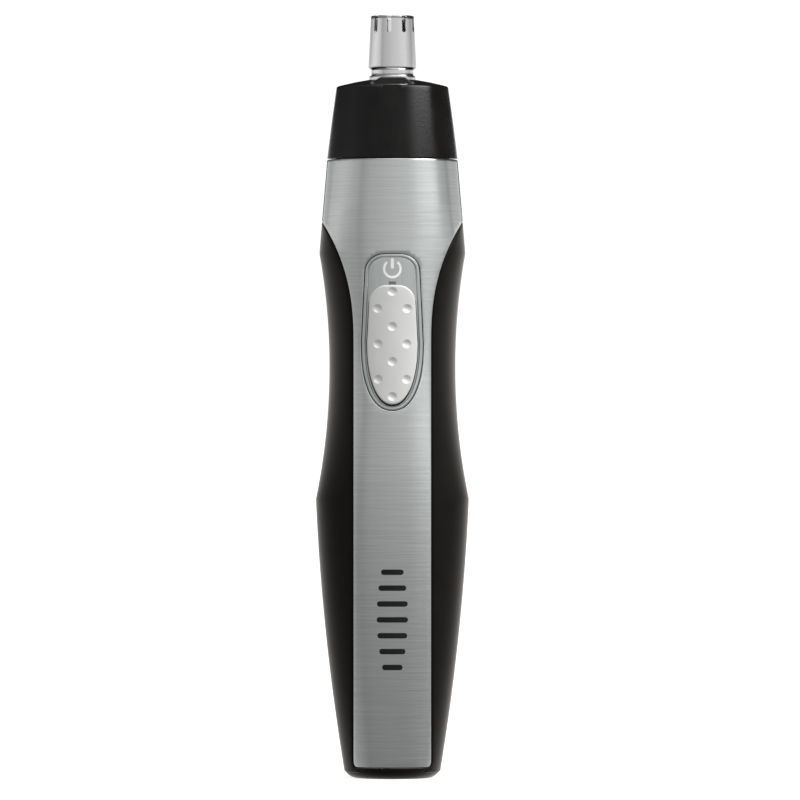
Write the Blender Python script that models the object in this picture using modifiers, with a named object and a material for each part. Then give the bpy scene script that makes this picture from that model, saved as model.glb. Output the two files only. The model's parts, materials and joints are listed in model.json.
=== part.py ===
"""Battery nose hair trimmer, standing on its base: +Z runs up to the cutter and -Y is the front.

Every solid is one named object. Lengths are in metres. The handle is a slim oval body: a long front
plate, a rubber grip round both sides and under the base, a rear plate and a battery door. The two
housing halves inside carry the cell, the switch and the motor, and the cutter head pulls off the top.
"""

import math

import bmesh
import bpy
from mathutils import Matrix, Vector

MM = 0.001

# Heights of the handle's stations above the base.
TOTAL_HEIGHT = 140.0 * MM
SEAM_Z = 113.6 * MM
GRIP_TIP_Z = 102.1 * MM
UPPER_RIDGE_Z = 96.6 * MM
WAIST_Z = 75.5 * MM
LOWER_RIDGE_Z = 51.2 * MM
DOOR_TOP_Z = 58.0 * MM
STRIP_FOOT_Z = 2.2 * MM

# Half widths of the outline, seen from the front.
SEAM_R = 11.98 * MM
UPPER_RIDGE_HALF = 13.4 * MM
WAIST_HALF = 11.57 * MM
LOWER_RIDGE_HALF = 14.07 * MM
STRIP_HALF = 7.13 * MM

# The smooth core under the grip's bulges: (height, half width).
CORE_HALF_WIDTHS = [
    (0.0 * MM, 8.75 * MM),
    (12.0 * MM, 10.35 * MM),
    (30.0 * MM, 12.0 * MM),
    (51.2 * MM, 12.6 * MM),
    (75.5 * MM, 11.5 * MM),
    (96.6 * MM, 12.75 * MM),
    (105.0 * MM, 12.7 * MM),
    (113.6 * MM, 11.98 * MM),
]
# Depth of the back behind the axis: (height, depth).
BACK_DEPTHS = [
    (0.0 * MM, 8.6 * MM),
    (12.0 * MM, 10.3 * MM),
    (30.0 * MM, 12.1 * MM),
    (51.2 * MM, 13.1 * MM),
    (75.5 * MM, 12.7 * MM),
    (96.6 * MM, 12.6 * MM),
    (113.6 * MM, 11.98 * MM),
]
FRONT_DEPTH = 11.95 * MM
FRONT_FOOT_DEPTH = 8.5 * MM
FRONT_STRAIGHT_Z = 66.0 * MM

PLATE_THICK = 1.3 * MM
HOUSING_INSET = 1.7 * MM
HOUSING_THICK = 1.0 * MM
SEAM_GAP = 0.4 * MM
FRONT_EDGE_ANGLE = math.radians(78)
REAR_EDGE_ANGLE = math.radians(81.5)
LEAF_TOP_Z = 101.6 * MM
BASE_PAD_HEIGHT = 1.9 * MM
BASE_CORNER = 1.3 * MM
PAD_STEP = 0.25 * MM

# Switch: an egg-shaped bezel in the front plate and a shorter egg-shaped button that slides up.
SWITCH_MID_Z = 79.9 * MM
BEZEL_HALF = 5.7 * MM
BEZEL_UP = 16.15 * MM
BEZEL_DOWN = 12.4 * MM
BUTTON_HALF = 4.74 * MM
BUTTON_UP = 10.5 * MM
BUTTON_DOWN = 11.5 * MM
SWITCH_TRAVEL = 4.3 * MM
STEM_LOW_Z = 74.0 * MM
STEM_HIGH_Z = 80.0 * MM
STEM_HALF = 1.2 * MM
DIMPLE_TOP_Z = 89.3 * MM
DIMPLE_ROW = 3.2 * MM
DIMPLE_SIDE = 2.55 * MM
DIMPLE_BALL_R = 1.05 * MM
BUTTON_RISE = 0.85 * MM

# Cutter head.
CAP_SHOULDER_Z = 126.6 * MM
CAP_TAB_Z = 128.72 * MM
CAP_TAB_HALF = 2.7 * MM
CAP_SHOULDER_R = 10.2 * MM
CUTTER_TOP_R = 3.92 * MM
CUTTER_LIP_R = 4.41 * MM
CUTTER_LIP_Z = 130.6 * MM
CUTTER_WALL = 0.4 * MM
RING_R = 9.75 * MM
RING_Z = 115.2 * MM
RING_THICK = 0.42 * MM
SLOT_COUNT = 9
SLOT_WIDTH = 0.85 * MM
SLOT_DEPTH = 3.2 * MM
SLOT_TURN = math.radians(-8.6)
BLADE_COUNT = 5
DOG_HALF = 1.7 * MM
DOG_HALF_DEPTH = 0.5 * MM
DOG_TOP_Z = 123.0 * MM
DOG_PLAY = 0.35 * MM

# Motor.
MOTOR_R = 7.7 * MM
MOTOR_FLAT = 6.1 * MM
MOTOR_LOW_Z = 85.0 * MM
MOTOR_HIGH_Z = 107.0 * MM
MOTOR_WALL = 0.6 * MM
END_CAP_LOW_Z = 82.2 * MM
MAGNET_R = 6.8 * MM
MAGNET_BORE_R = 5.0 * MM
MAGNET_LOW_Z = 88.0 * MM
MAGNET_HIGH_Z = 104.0 * MM
CORE_LOW_Z = 90.0 * MM
CORE_HIGH_Z = 102.0 * MM
CORE_R = 2.2 * MM
POLE_R = 4.6 * MM
POLE_COUNT = 3
TERMINAL_X = 2.6 * MM
SHAFT_R = 1.0 * MM
SHAFT_LOW_Z = 82.0 * MM
SHAFT_HIGH_Z = 112.5 * MM

# Battery and fasteners.
CELL_R = 5.25 * MM
CELL_LOW_Z = 11.0 * MM
CELL_HIGH_Z = 55.5 * MM
CELL_Y = 0.8 * MM
TRAY_LOW_Z = 6.2 * MM
TRAY_HIGH_Z = 57.5 * MM
SCREW_X = 5.2 * MM
SCREW_HEIGHTS = {"lower": 62.5 * MM, "upper": 76.4 * MM}
SCREW_SEAT_Y = 5.6 * MM
LEAD_R = 0.35 * MM

# Battery door.
DOOR_PIVOT_Y = 9.2 * MM
RIB_COUNT = 4
RIB_LOW_Z = 46.5 * MM
RIB_PITCH = 1.8 * MM
RIB_HALF = 3.4 * MM

ROUND = 28
MERGE = 1e-5
LONG = 20.0 * MM  # how far a helper reaches past the solid that it shapes


# ---------------------------------------------------------------- scene, materials


def clear_scene():
    for obj in list(bpy.data.objects):
        bpy.data.objects.remove(obj, do_unlink=True)


def new_collection(name):
    collection = bpy.data.collections.new(name)
    bpy.context.scene.collection.children.link(collection)
    return collection


def material(name, colour, metallic, roughness):
    made = bpy.data.materials.new(name)
    made.use_nodes = True
    shader = made.node_tree.nodes["Principled BSDF"]
    shader.inputs["Base Color"].default_value = (*colour, 1.0)
    shader.inputs["Metallic"].default_value = metallic
    shader.inputs["Roughness"].default_value = roughness
    made.diffuse_color = (*colour, 1.0)
    return made


def make_materials():
    return {
        "brushed": material("brushed_aluminium", (0.62, 0.64, 0.64), 0.9, 0.35),
        "button": material("satin_silver_plastic", (0.70, 0.70, 0.69), 0.3, 0.40),
        "gloss_black": material("gloss_black_plastic", (0.012, 0.012, 0.012), 0.0, 0.15),
        "rubber": material("black_rubber", (0.022, 0.021, 0.020), 0.0, 0.60),
        "black": material("black_plastic", (0.02, 0.02, 0.02), 0.0, 0.45),
        "grey": material("grey_plastic", (0.25, 0.25, 0.26), 0.0, 0.50),
        "white": material("white_plastic", (0.80, 0.80, 0.78), 0.0, 0.40),
        "steel": material("polished_steel", (0.66, 0.66, 0.65), 1.0, 0.18),
        "zinc": material("zinc_plate", (0.55, 0.56, 0.58), 1.0, 0.35),
        "copper": material("copper", (0.72, 0.42, 0.25), 1.0, 0.30),
        "magnet": material("ferrite", (0.05, 0.05, 0.055), 0.1, 0.60),
        "cell": material("cell_wrap", (0.10, 0.16, 0.30), 0.2, 0.30),
        "board": material("board", (0.04, 0.16, 0.08), 0.0, 0.50),
        "red": material("red_wire", (0.55, 0.03, 0.02), 0.0, 0.45),
    }


# ---------------------------------------------------------------- the handle's surface


def smooth_step(value):
    value = min(1.0, max(0.0, value))
    return value * value * (3 - 2 * value)


def through(stations, z):
    """A smooth curve through (height, value) stations: cubic Hermite with finite-difference slopes."""
    z = min(max(z, stations[0][0]), stations[-1][0])
    last = len(stations) - 1

    def slope(i):
        before, after = stations[max(0, i - 1)], stations[min(last, i + 1)]
        return (after[1] - before[1]) / (after[0] - before[0])

    for i in range(last):
        (z0, v0), (z1, v1) = stations[i], stations[i + 1]
        if z <= z1:
            span = z1 - z0
            s = (z - z0) / span
            h00, h10 = 2 * s**3 - 3 * s**2 + 1, s**3 - 2 * s**2 + s
            h01, h11 = -2 * s**3 + 3 * s**2, s**3 - s**2
            return h00 * v0 + h10 * span * slope(i) + h01 * v1 + h11 * span * slope(i + 1)
    return stations[-1][1]


def outline_half(z):
    """Half width of the whole handle: a convex foot, a hollow waist and a straight shoulder."""
    if z < LOWER_RIDGE_Z:
        below = (LOWER_RIDGE_Z - z) / MM
        return LOWER_RIDGE_HALF - (0.045 * below + 0.00121 * below**2) * MM
    if z < UPPER_RIDGE_Z:
        return WAIST_HALF + 0.00424 * ((z - WAIST_Z) / MM) ** 2 * MM
    share = (z - UPPER_RIDGE_Z) / (SEAM_Z - UPPER_RIDGE_Z)
    return UPPER_RIDGE_HALF + share * (SEAM_R - UPPER_RIDGE_HALF)


def core_half(z):
    return min(through(CORE_HALF_WIDTHS, z), outline_half(z))


def front_depth(z):
    """The front is straight past the switch and curves back towards the foot."""
    if z >= FRONT_STRAIGHT_Z:
        return FRONT_DEPTH
    share = (FRONT_STRAIGHT_Z - z) / FRONT_STRAIGHT_Z
    return FRONT_DEPTH - (FRONT_DEPTH - FRONT_FOOT_DEPTH) * share**2


def strip_half(z):
    """Half width of the front and rear strips, which widen to the outline at the grip's tip."""
    rise = max(0.0, z - 80.0 * MM) / (GRIP_TIP_Z - 80.0 * MM)
    return STRIP_HALF + (outline_half(GRIP_TIP_Z) - STRIP_HALF) * rise**2.4


def body_point(angle, z, inset=0.0):
    """A point of the handle at this angle from the front centre line, positive towards +X."""
    depth = front_depth(z) if math.cos(angle) >= 0 else through(BACK_DEPTHS, z)
    bulge = 0.0
    if inset < HOUSING_INSET:
        side = smooth_step((abs(math.sin(angle)) - 0.62) / 0.38)
        bulge = max(0.0, outline_half(z) - core_half(z)) * side
    x = (core_half(z) + bulge - inset) * math.sin(angle)
    y = -(depth + 0.5 * bulge - inset) * math.cos(angle)
    return Vector((x, y, z))


def angle_at(z, x):
    """The angle from the front centre line at which the handle's surface is this far to the side."""
    low, high = 0.0, math.pi / 2
    for _ in range(24):
        middle = (low + high) / 2
        if body_point(middle, z).x < x:
            low = middle
        else:
            high = middle
    return low


def leaf_edge(z, gap=0.0):
    """The angle of the strips' edge, where the grip's leaf starts after a gap."""
    return angle_at(z, strip_half(z) + gap)


# ---------------------------------------------------------------- builders


def finish(obj, colour, home):
    if colour is not None:
        obj.data.materials.append(colour)
    home.objects.link(obj)
    return obj


def smooth(obj, degrees=35):
    obj.data.shade_smooth()
    obj.data.set_sharp_from_angle(angle=math.radians(degrees))
    return obj


def object_from_bmesh(name, mesh_data, colour, home):
    mesh = bpy.data.meshes.new(name)
    bmesh.ops.recalc_face_normals(mesh_data, faces=mesh_data.faces)
    mesh_data.to_mesh(mesh)
    mesh_data.free()
    return finish(smooth(bpy.data.objects.new(name, mesh)), colour, home)


def heights_between(low, high, step, extra=()):
    """Evenly spaced heights from low to high, with the extra ones that lie between them."""
    count = max(1, round((high - low) / step))
    rows = [low + (high - low) * i / count for i in range(count + 1)]
    rows = [z for z in rows if all(abs(z - e) > 0.4 * step for e in extra)]
    return sorted(set(rows + [e for e in extra if low < e < high] + [low, high]))


def shell(name, heights, columns, angles, inset, thickness, colour, home):
    """A piece of the handle's skin: an open grid between two angles at each height, made solid."""
    made = bmesh.new()
    rows = []
    for z in heights:
        first, last = angles(z)
        steps = [first + (last - first) * i / columns for i in range(columns + 1)]
        rows.append([made.verts.new(body_point(angle, z, inset)) for angle in steps])
    for low, high in zip(rows, rows[1:]):
        for i in range(columns):
            made.faces.new((low[i], low[i + 1], high[i + 1], high[i]))
    mesh = bpy.data.meshes.new(name)
    made.to_mesh(mesh)
    made.free()
    obj = smooth(bpy.data.objects.new(name, mesh))
    solid = obj.modifiers.new("thickness", "SOLIDIFY")
    solid.thickness = thickness
    solid.offset = -1
    return finish(obj, colour, home)


def turned(name, profile, colour, home, steps=ROUND, closed=False):
    """A turned piece about Z. The (radius, height) profile runs down its outer side."""
    made = bmesh.new()
    points = [made.verts.new((r, 0.0, z)) for r, z in profile]
    pairs = list(zip(points, points[1:])) + ([(points[-1], points[0])] if closed else [])
    for pair in pairs:
        made.edges.new(pair)
    mesh = bpy.data.meshes.new(name)
    made.to_mesh(mesh)
    made.free()
    obj = bpy.data.objects.new(name, mesh)
    screw = obj.modifiers.new("turn", "SCREW")
    screw.steps = steps
    screw.render_steps = steps
    screw.use_merge_vertices = True
    screw.merge_threshold = MERGE
    screw.use_smooth_shade = False
    return finish(obj, colour, home)


def mm(x, y, z):
    """A point given in millimetres."""
    return (x * MM, y * MM, z * MM)


def box(name, low, high, colour, home):
    size = Vector(high) - Vector(low)
    middle = (Vector(high) + Vector(low)) / 2
    made = bmesh.new()
    place = Matrix.Translation(middle) @ Matrix.Diagonal((*size, 1.0))
    bmesh.ops.create_cube(made, size=1.0, matrix=place)
    return object_from_bmesh(name, made, colour, home)


def rod(name, start, end, radius, colour, home, sides=ROUND):
    """A cylinder between two points."""
    start, end = Vector(start), Vector(end)
    along = end - start
    turn = along.to_track_quat("Z", "Y").to_matrix().to_4x4()
    made = bmesh.new()
    bmesh.ops.create_cone(
        made,
        cap_ends=True,
        segments=sides,
        radius1=radius,
        radius2=radius,
        depth=along.length,
        matrix=Matrix.Translation((start + end) / 2) @ turn,
    )
    return object_from_bmesh(name, made, colour, home)


def upright(name, low, high, radius, colour, home, sides=ROUND):
    """A cylinder about Z between two heights."""
    return rod(name, (0, 0, low), (0, 0, high), radius, colour, home, sides)


def ball(name, centre, radius, home, sides=10):
    made = bmesh.new()
    place = Matrix.Translation(Vector(centre))
    bmesh.ops.create_uvsphere(made, u_segments=sides, v_segments=sides - 2, radius=radius, matrix=place)
    return object_from_bmesh(name, made, None, home)


def curve_object(name, points, cyclic, dimensions):
    curve = bpy.data.curves.new(name, "CURVE")
    curve.dimensions = dimensions
    spline = curve.splines.new("POLY")
    spline.points.add(len(points) - 1)
    for place, point in zip(spline.points, points):
        place.co = (*point, 1.0)
    spline.use_cyclic_u = cyclic
    return bpy.data.objects.new(name, curve)


def wire(name, points, radius, colour, home):
    """A round wire along the points, with closed ends."""
    obj = curve_object(name, points, False, "3D")
    obj.data.bevel_depth = radius
    obj.data.bevel_resolution = 2
    obj.data.use_fill_caps = True
    return finish(obj, colour, home)


def prism(name, outline, near_y, far_y, home, colour=None):
    """An (x, z) outline made solid between two depths, as a mesh that a Boolean takes."""
    flat = curve_object(name + "_outline", [(x, z, 0.0) for x, z in outline], True, "2D")
    flat.data.fill_mode = "BOTH"
    flat.data.extrude = abs(far_y - near_y) / 2
    bpy.context.scene.collection.objects.link(flat)
    bpy.context.view_layer.update()
    graph = bpy.context.evaluated_depsgraph_get()
    mesh = bpy.data.meshes.new_from_object(flat.evaluated_get(graph), depsgraph=graph)
    mesh.name = name
    bpy.data.objects.remove(flat)
    made = bmesh.new()
    made.from_mesh(mesh)
    bpy.data.meshes.remove(mesh)
    bmesh.ops.remove_doubles(made, verts=made.verts, dist=MERGE)
    stand = Matrix.Translation((0, (near_y + far_y) / 2, 0)) @ Matrix.Rotation(math.pi / 2, 4, "X")
    bmesh.ops.transform(made, matrix=stand, verts=made.verts)
    return object_from_bmesh(name, made, colour, home)


def join_cutters(name, pieces, home):
    """Separate cutters as one mesh, so that one Boolean takes them all."""
    made = bmesh.new()
    for piece in pieces:
        piece.data.transform(piece.matrix_basis)
        made.from_mesh(piece.data)
        bpy.data.objects.remove(piece)
    return object_from_bmesh(name, made, None, home)


def combine(obj, other, operation):
    """Adds a Boolean with a helper object, which is then hidden from the result."""
    other.hide_render = True
    other.display_type = "WIRE"
    step = obj.modifiers.new(operation.lower() + "_" + other.name, "BOOLEAN")
    step.operation = operation
    step.solver = "EXACT"
    step.object = other
    return obj


def cut(obj, other):
    return combine(obj, other, "DIFFERENCE")


def add(obj, other):
    return combine(obj, other, "UNION")


def keep(obj, other):
    return combine(obj, other, "INTERSECT")


def set_origin(obj, place):
    """Moves the object's origin to a point on its joint's axis and leaves the shape where it is."""
    place = Vector(place)
    obj.data.transform(Matrix.Translation(-place))
    obj.location = place
    return obj


# ---------------------------------------------------------------- outlines and routes


def coil(radii, heights, centre_y=0.0, turns=3, per_turn=10):
    """Points along a helix about an upright axis, from the first radius and height to the second."""
    points = []
    for i in range(turns * per_turn + 1):
        share = i / (turns * per_turn)
        radius = radii[0] + share * (radii[1] - radii[0])
        turn = 2 * math.pi * i / per_turn
        z = heights[0] + share * (heights[1] - heights[0])
        points.append((radius * math.cos(turn), centre_y + radius * math.sin(turn), z))
    return points


def egg(half, up, down, grow=0.0, count=40):
    """An upright egg outline about the switch's middle: squarer at its top, round at its bottom."""
    points = []
    for i in range(count):
        turn = 2 * math.pi * i / count
        upper = math.sin(turn) >= 0
        power = 2 / (4.4 if upper else 2.4)
        reach = (up if upper else down) + grow
        x = math.copysign(abs(math.cos(turn)) ** power, math.cos(turn)) * (half + grow)
        z = math.copysign(abs(math.sin(turn)) ** power, math.sin(turn)) * reach
        points.append((x, SWITCH_MID_Z + z))
    return points


def slot_outline(half, low, high, steps=3):
    """An upright slot with a round foot and a square top."""
    foot = [math.pi + math.pi * i / steps for i in range(steps + 1)]
    round_foot = [(half * math.cos(a), low + half + half * math.sin(a)) for a in foot]
    return round_foot + [(half, high), (-half, high)]


# ---------------------------------------------------------------- skin of the handle


def skin_heights(low, high, step):
    """Rows for a piece of skin, closer together where the grip's leaf rounds off at its top."""
    leaf_rows = [LEAF_TOP_Z - drop * MM for drop in (13.6, 8.6, 2.4, 0.8, 0.0)]
    return heights_between(low, high, step, (LOWER_RIDGE_Z, UPPER_RIDGE_Z, *leaf_rows))


def make_front_plate(colours, home, cutters):
    def angles(z):
        edge = min(leaf_edge(z), FRONT_EDGE_ANGLE)
        return -edge, edge

    rows = skin_heights(STRIP_FOOT_Z, SEAM_Z - 0.1 * MM, 7.5 * MM)
    plate = shell("front_plate", rows, 10, angles, 0.0, PLATE_THICK, colours["brushed"], home)
    hole = egg(BEZEL_HALF, BEZEL_UP, BEZEL_DOWN)
    cut(plate, prism("bezel_hole", hole, -16 * MM, -5 * MM, cutters))


def make_rear_plate(colours, home):
    """The upper back, which reaches round to the front plate above the grip's leaves."""

    def angles(z):
        edge = math.pi - leaf_edge(z) if z < LEAF_TOP_Z + SEAM_GAP else REAR_EDGE_ANGLE
        return edge, 2 * math.pi - edge

    rows = skin_heights(DOOR_TOP_Z + SEAM_GAP, SEAM_Z - 0.1 * MM, 7.5 * MM)
    rows = sorted(rows + [LEAF_TOP_Z + SEAM_GAP])
    shell("rear_plate", rows, 12, angles, 0.0, PLATE_THICK, colours["black"], home)


def make_battery_door(colours, home, cutters):
    """The lower back. It tilts out about its foot, and has finger ribs and a catch at its top."""

    def angles(z):
        edge = leaf_edge(z)
        return math.pi - edge, math.pi + edge

    rows = heights_between(STRIP_FOOT_Z + 0.1 * MM, DOOR_TOP_Z, 8 * MM)
    door = shell("battery_door", rows, 8, angles, 0.0, PLATE_THICK, colours["black"], home)
    for i in range(RIB_COUNT):
        z = RIB_LOW_Z + RIB_PITCH * i
        y = through(BACK_DEPTHS, z) - 0.2 * MM
        add(door, rod(f"door_rib_{i}", (-RIB_HALF, y, z), (RIB_HALF, y, z), 0.5 * MM, None, cutters, 6))
    catch_y = through(BACK_DEPTHS, DOOR_TOP_Z) - PLATE_THICK
    catch_low = (-2.5 * MM, catch_y - 1.6 * MM, DOOR_TOP_Z - 1.5 * MM)
    catch_high = (2.5 * MM, catch_y + 0.6 * MM, DOOR_TOP_Z - 0.5 * MM)
    add(door, box("door_catch", catch_low, catch_high, None, cutters))
    set_origin(door, (0, DOOR_PIVOT_Y, STRIP_FOOT_Z))


def make_grip(colours, home, cutters):
    """One rubber moulding: a leaf on each side with a rounded top, joined by the pad underneath."""

    def right(z):
        edge = leaf_edge(z, SEAM_GAP)
        return edge, math.pi - edge

    def left(z):
        edge = leaf_edge(z, SEAM_GAP)
        return math.pi + edge, 2 * math.pi - edge

    rows = skin_heights(1.05 * MM, LEAF_TOP_Z, 7 * MM)
    grip = shell("rubber_grip", rows, 8, right, 0.0, PLATE_THICK, colours["rubber"], home)
    add(grip, shell("left_leaf", rows, 8, left, 0.0, PLATE_THICK, None, cutters))
    add(grip, make_base_pad(cutters))


def base_pad_inset(z):
    """How far the pad's edge is drawn in by its rounded lower corner."""
    drop = max(0.0, BASE_CORNER - z)
    return PAD_STEP + BASE_CORNER - math.sqrt(max(0.0, BASE_CORNER**2 - drop**2))


def make_base_pad(home):
    made = bmesh.new()
    rings = []
    for z in (0.0, 0.35 * MM, 0.8 * MM, BASE_CORNER, BASE_PAD_HEIGHT):
        inset = base_pad_inset(z)
        turns = [2 * math.pi * i / ROUND for i in range(ROUND)]
        rings.append([made.verts.new(body_point(turn, z, inset)) for turn in turns])
    for low, high in zip(rings, rings[1:]):
        for i in range(ROUND):
            j = (i + 1) % ROUND
            made.faces.new((low[i], low[j], high[j], high[i]))
    made.faces.new(reversed(rings[0]))
    made.faces.new(rings[-1])
    return object_from_bmesh("base_pad", made, None, home)


# ---------------------------------------------------------------- housing


def make_housing(colours, home, cutters):
    low, high = 3.2 * MM, 112.5 * MM
    rows = heights_between(low, high, 13 * MM)
    side = math.radians(88)

    def front_angles(_):
        return -side, side

    def rear_angles(_):
        return math.pi - side, math.pi + side

    inset, thick = HOUSING_INSET, HOUSING_THICK
    front = shell("front_housing", rows, 8, front_angles, inset, thick, colours["black"], home)
    rear = shell("rear_housing", rows, 8, rear_angles, inset, thick, colours["black"], home)

    add(front, screw_rods("front_bosses", -0.2 * MM, -6.5 * MM, 2.1 * MM, cutters))
    cut(front, screw_rods("pilot_holes", MM, -5.5 * MM, 1.2 * MM, cutters))
    slot_low = (-STEM_HALF - 0.5 * MM, -14 * MM, STEM_LOW_Z - 0.5 * MM)
    slot_high = (STEM_HALF + 0.5 * MM, -7 * MM, STEM_HIGH_Z + SWITCH_TRAVEL + 0.5 * MM)
    cut(front, box("stem_slot", slot_low, slot_high, None, cutters))

    well_low = (-6.6 * MM, 1.0 * MM, 5.5 * MM)
    well_high = (6.6 * MM, 16 * MM, DOOR_TOP_Z + 0.6 * MM)
    cut(rear, box("battery_well", well_low, well_high, None, cutters))
    add(rear, screw_rods("rear_bosses", 0.2 * MM, 6.4 * MM, 2.6 * MM, cutters))
    cut(rear, screw_rods("clearance_holes", -MM, 14 * MM, 1.2 * MM, cutters))
    cut(rear, screw_rods("head_recesses", SCREW_SEAT_Y, 14 * MM, 2.05 * MM, cutters))
    for name, x, z in screw_places():
        make_screw("housing_screw_" + name, x, z, colours, home, cutters)

    floor = [(0, 3.0 * MM), (6.9 * MM, 3.0 * MM), (6.9 * MM, 2.2 * MM), (0, 2.2 * MM)]
    turned("base_plug", floor, colours["black"], home, 20)


def screw_places():
    for level, z in SCREW_HEIGHTS.items():
        for side, x in (("left", -SCREW_X), ("right", SCREW_X)):
            yield f"{level}_{side}", x, z


def screw_rods(name, near_y, far_y, radius, cutters):
    """A rod on each screw's axis, as one helper."""
    rods = []
    for place, x, z in screw_places():
        rods.append(rod(f"{name}_{place}", (x, near_y, z), (x, far_y, z), radius, None, cutters, 14))
    return join_cutters(name, rods, cutters)


def make_screw(name, x, z, colours, home, cutters):
    """A cross-head screw driven in from the back."""
    seat = SCREW_SEAT_Y + SEAM_GAP
    screw = rod(name, (x, seat, z), (x, seat + 1.1 * MM, z), 1.7 * MM, colours["zinc"], home, 16)
    shank = rod(name + "_shank", (x, seat + 0.3 * MM, z), (x, -4.5 * MM, z), 0.88 * MM, None, cutters, 12)
    add(screw, shank)
    for turn in (0, 1):
        wide, tall = (1.1 * MM, 0.22 * MM) if turn else (0.22 * MM, 1.1 * MM)
        low = (x - wide, seat + 0.5 * MM, z - tall)
        high = (x + wide, seat + 3 * MM, z + tall)
        cut(screw, box(f"{name}_cross_{turn}", low, high, None, cutters))


def make_head_seat(colours, home):
    """The spigot that the head pushes onto, with its seals."""
    profile = [
        (9.3, 118.0), (9.6, 117.7), (9.6, 115.8), (9.0, 115.8), (9.0, 114.6), (9.6, 114.6),
        (9.6, 112.9), (8.8, 112.9), (8.8, 109.3), (8.0, 109.3), (8.0, 116.8), (4.6, 116.8), (4.6, 118.0),
    ]  # fmt: skip
    turned("head_seat", [(r * MM, z * MM) for r, z in profile], colours["black"], home, 24, closed=True)
    lip = [(4.3, 118.3), (4.3, 116.4), (3.1, 116.4), (3.1, 117.6), (3.5, 118.3)]
    turned("shaft_seal", [(r * MM, z * MM) for r, z in lip], colours["rubber"], home, 20, closed=True)
    turns = [math.pi / 2 - math.pi * i / 3 for i in range(6)]
    ring = [(RING_R + RING_THICK * math.cos(a), RING_Z + RING_THICK * math.sin(a)) for a in turns]
    turned("spigot_ring", ring, colours["rubber"], home, 24, closed=True)


# ---------------------------------------------------------------- switch


def make_switch(colours, home, cutters):
    rows = heights_between(66.5 * MM, 97.5 * MM, 15.5 * MM)
    spread = math.radians(36)

    def angles(_):
        return -spread, spread

    bezel = shell("switch_bezel", rows, 10, angles, 0.5 * MM, 0.9 * MM, colours["brushed"], home)
    outline = egg(BEZEL_HALF, BEZEL_UP, BEZEL_DOWN, grow=-SEAM_GAP)
    keep(bezel, prism("bezel_outline", outline, -16 * MM, -5 * MM, cutters))
    slot_low = (-STEM_HALF - 0.4 * MM, -14 * MM, STEM_LOW_Z - 0.4 * MM)
    slot_high = (STEM_HALF + 0.4 * MM, -7 * MM, STEM_HIGH_Z + SWITCH_TRAVEL + 0.4 * MM)
    cut(bezel, box("bezel_slot", slot_low, slot_high, None, cutters))

    button = shell("switch_button", rows, 10, angles, -BUTTON_RISE, 1.0 * MM, colours["button"], home)
    outline = egg(BUTTON_HALF, BUTTON_UP, BUTTON_DOWN)
    keep(button, prism("button_outline", outline, -16 * MM, -5 * MM, cutters))
    stem_low = (-STEM_HALF, -FRONT_DEPTH - 0.3 * MM, STEM_LOW_Z)
    stem_high = (STEM_HALF, -8.65 * MM, STEM_HIGH_Z)
    add(button, box("button_stem", stem_low, stem_high, None, cutters))
    cut(button, make_dimples(cutters))

    copper = colours["copper"]
    box("switch_carrier", mm(-3.0, -8.35, 72.0), mm(3.0, -7.3, 82.0), colours["white"], home)
    box("switch_wiper", mm(-1.6, -7.0, 72.6), mm(1.6, -6.8, 80.8), copper, home)
    box("switch_board", mm(-2.5, -5.9, 64.5), mm(2.5, -5.1, 81.4), colours["board"], home)
    box("battery_contact_strip", mm(-2.0, -6.5, 65.4), mm(2.0, -6.2, 73.4), copper, home)
    box("motor_contact_strip", mm(-2.0, -6.5, 77.6), mm(2.0, -6.2, 81.2), copper, home)


def make_dimples(cutters):
    """Ten shallow finger dimples: single ones on the middle line between pairs."""
    balls = []
    for row in range(7):
        z = DIMPLE_TOP_Z - DIMPLE_ROW * row
        for x in (-DIMPLE_SIDE, DIMPLE_SIDE) if row % 2 else (0.0,):
            surface = body_point(math.asin(x / (core_half(z) + BUTTON_RISE)), z, -BUTTON_RISE)
            outward = Vector((x, surface.y, 0)).normalized()
            centre = surface + outward * 0.75 * MM
            balls.append(ball(f"dimple_{len(balls)}", centre, DIMPLE_BALL_R, cutters, 8))
    return join_cutters("dimples", balls, cutters)


# ---------------------------------------------------------------- battery


def make_battery(colours, home, cutters):
    def at(radius, low, high, name, colour, place, sides=ROUND):
        return rod(name, (0, CELL_Y, low), (0, CELL_Y, high), radius, colour, place, sides)

    cell = at(CELL_R, CELL_LOW_Z, CELL_HIGH_Z - 0.8 * MM, "battery", colours["cell"], home)
    add(cell, at(1.9 * MM, CELL_HIGH_Z - 1.5 * MM, CELL_HIGH_Z, "cell_nub", None, cutters, 16))

    tray = at(6.3 * MM, TRAY_LOW_Z, TRAY_HIGH_Z, "battery_tray", colours["grey"], home)
    cut(tray, at(5.58 * MM, TRAY_LOW_Z + 0.9 * MM, TRAY_HIGH_Z - 0.9 * MM, "tray_bore", None, cutters))
    cut(tray, box("tray_open_back", (-9 * MM, CELL_Y, 0), (9 * MM, 12 * MM, 62 * MM), None, cutters))

    points = coil((3.9 * MM, 2.2 * MM), (7.7 * MM, 10.45 * MM), CELL_Y)
    wire("battery_spring", points, 0.25 * MM, colours["zinc"], home)
    box("positive_contact", mm(-3.4, -2.4, 55.8), mm(3.4, 4.6, 56.2), colours["zinc"], home)


# ---------------------------------------------------------------- motor


def flat_sides(name, half_depth, cutters):
    """A helper that flattens a round motor piece, front and back."""
    low = (-LONG, -half_depth, MOTOR_LOW_Z - LONG)
    return box(name, low, (LONG, half_depth, MOTOR_HIGH_Z + LONG), None, cutters)


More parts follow.
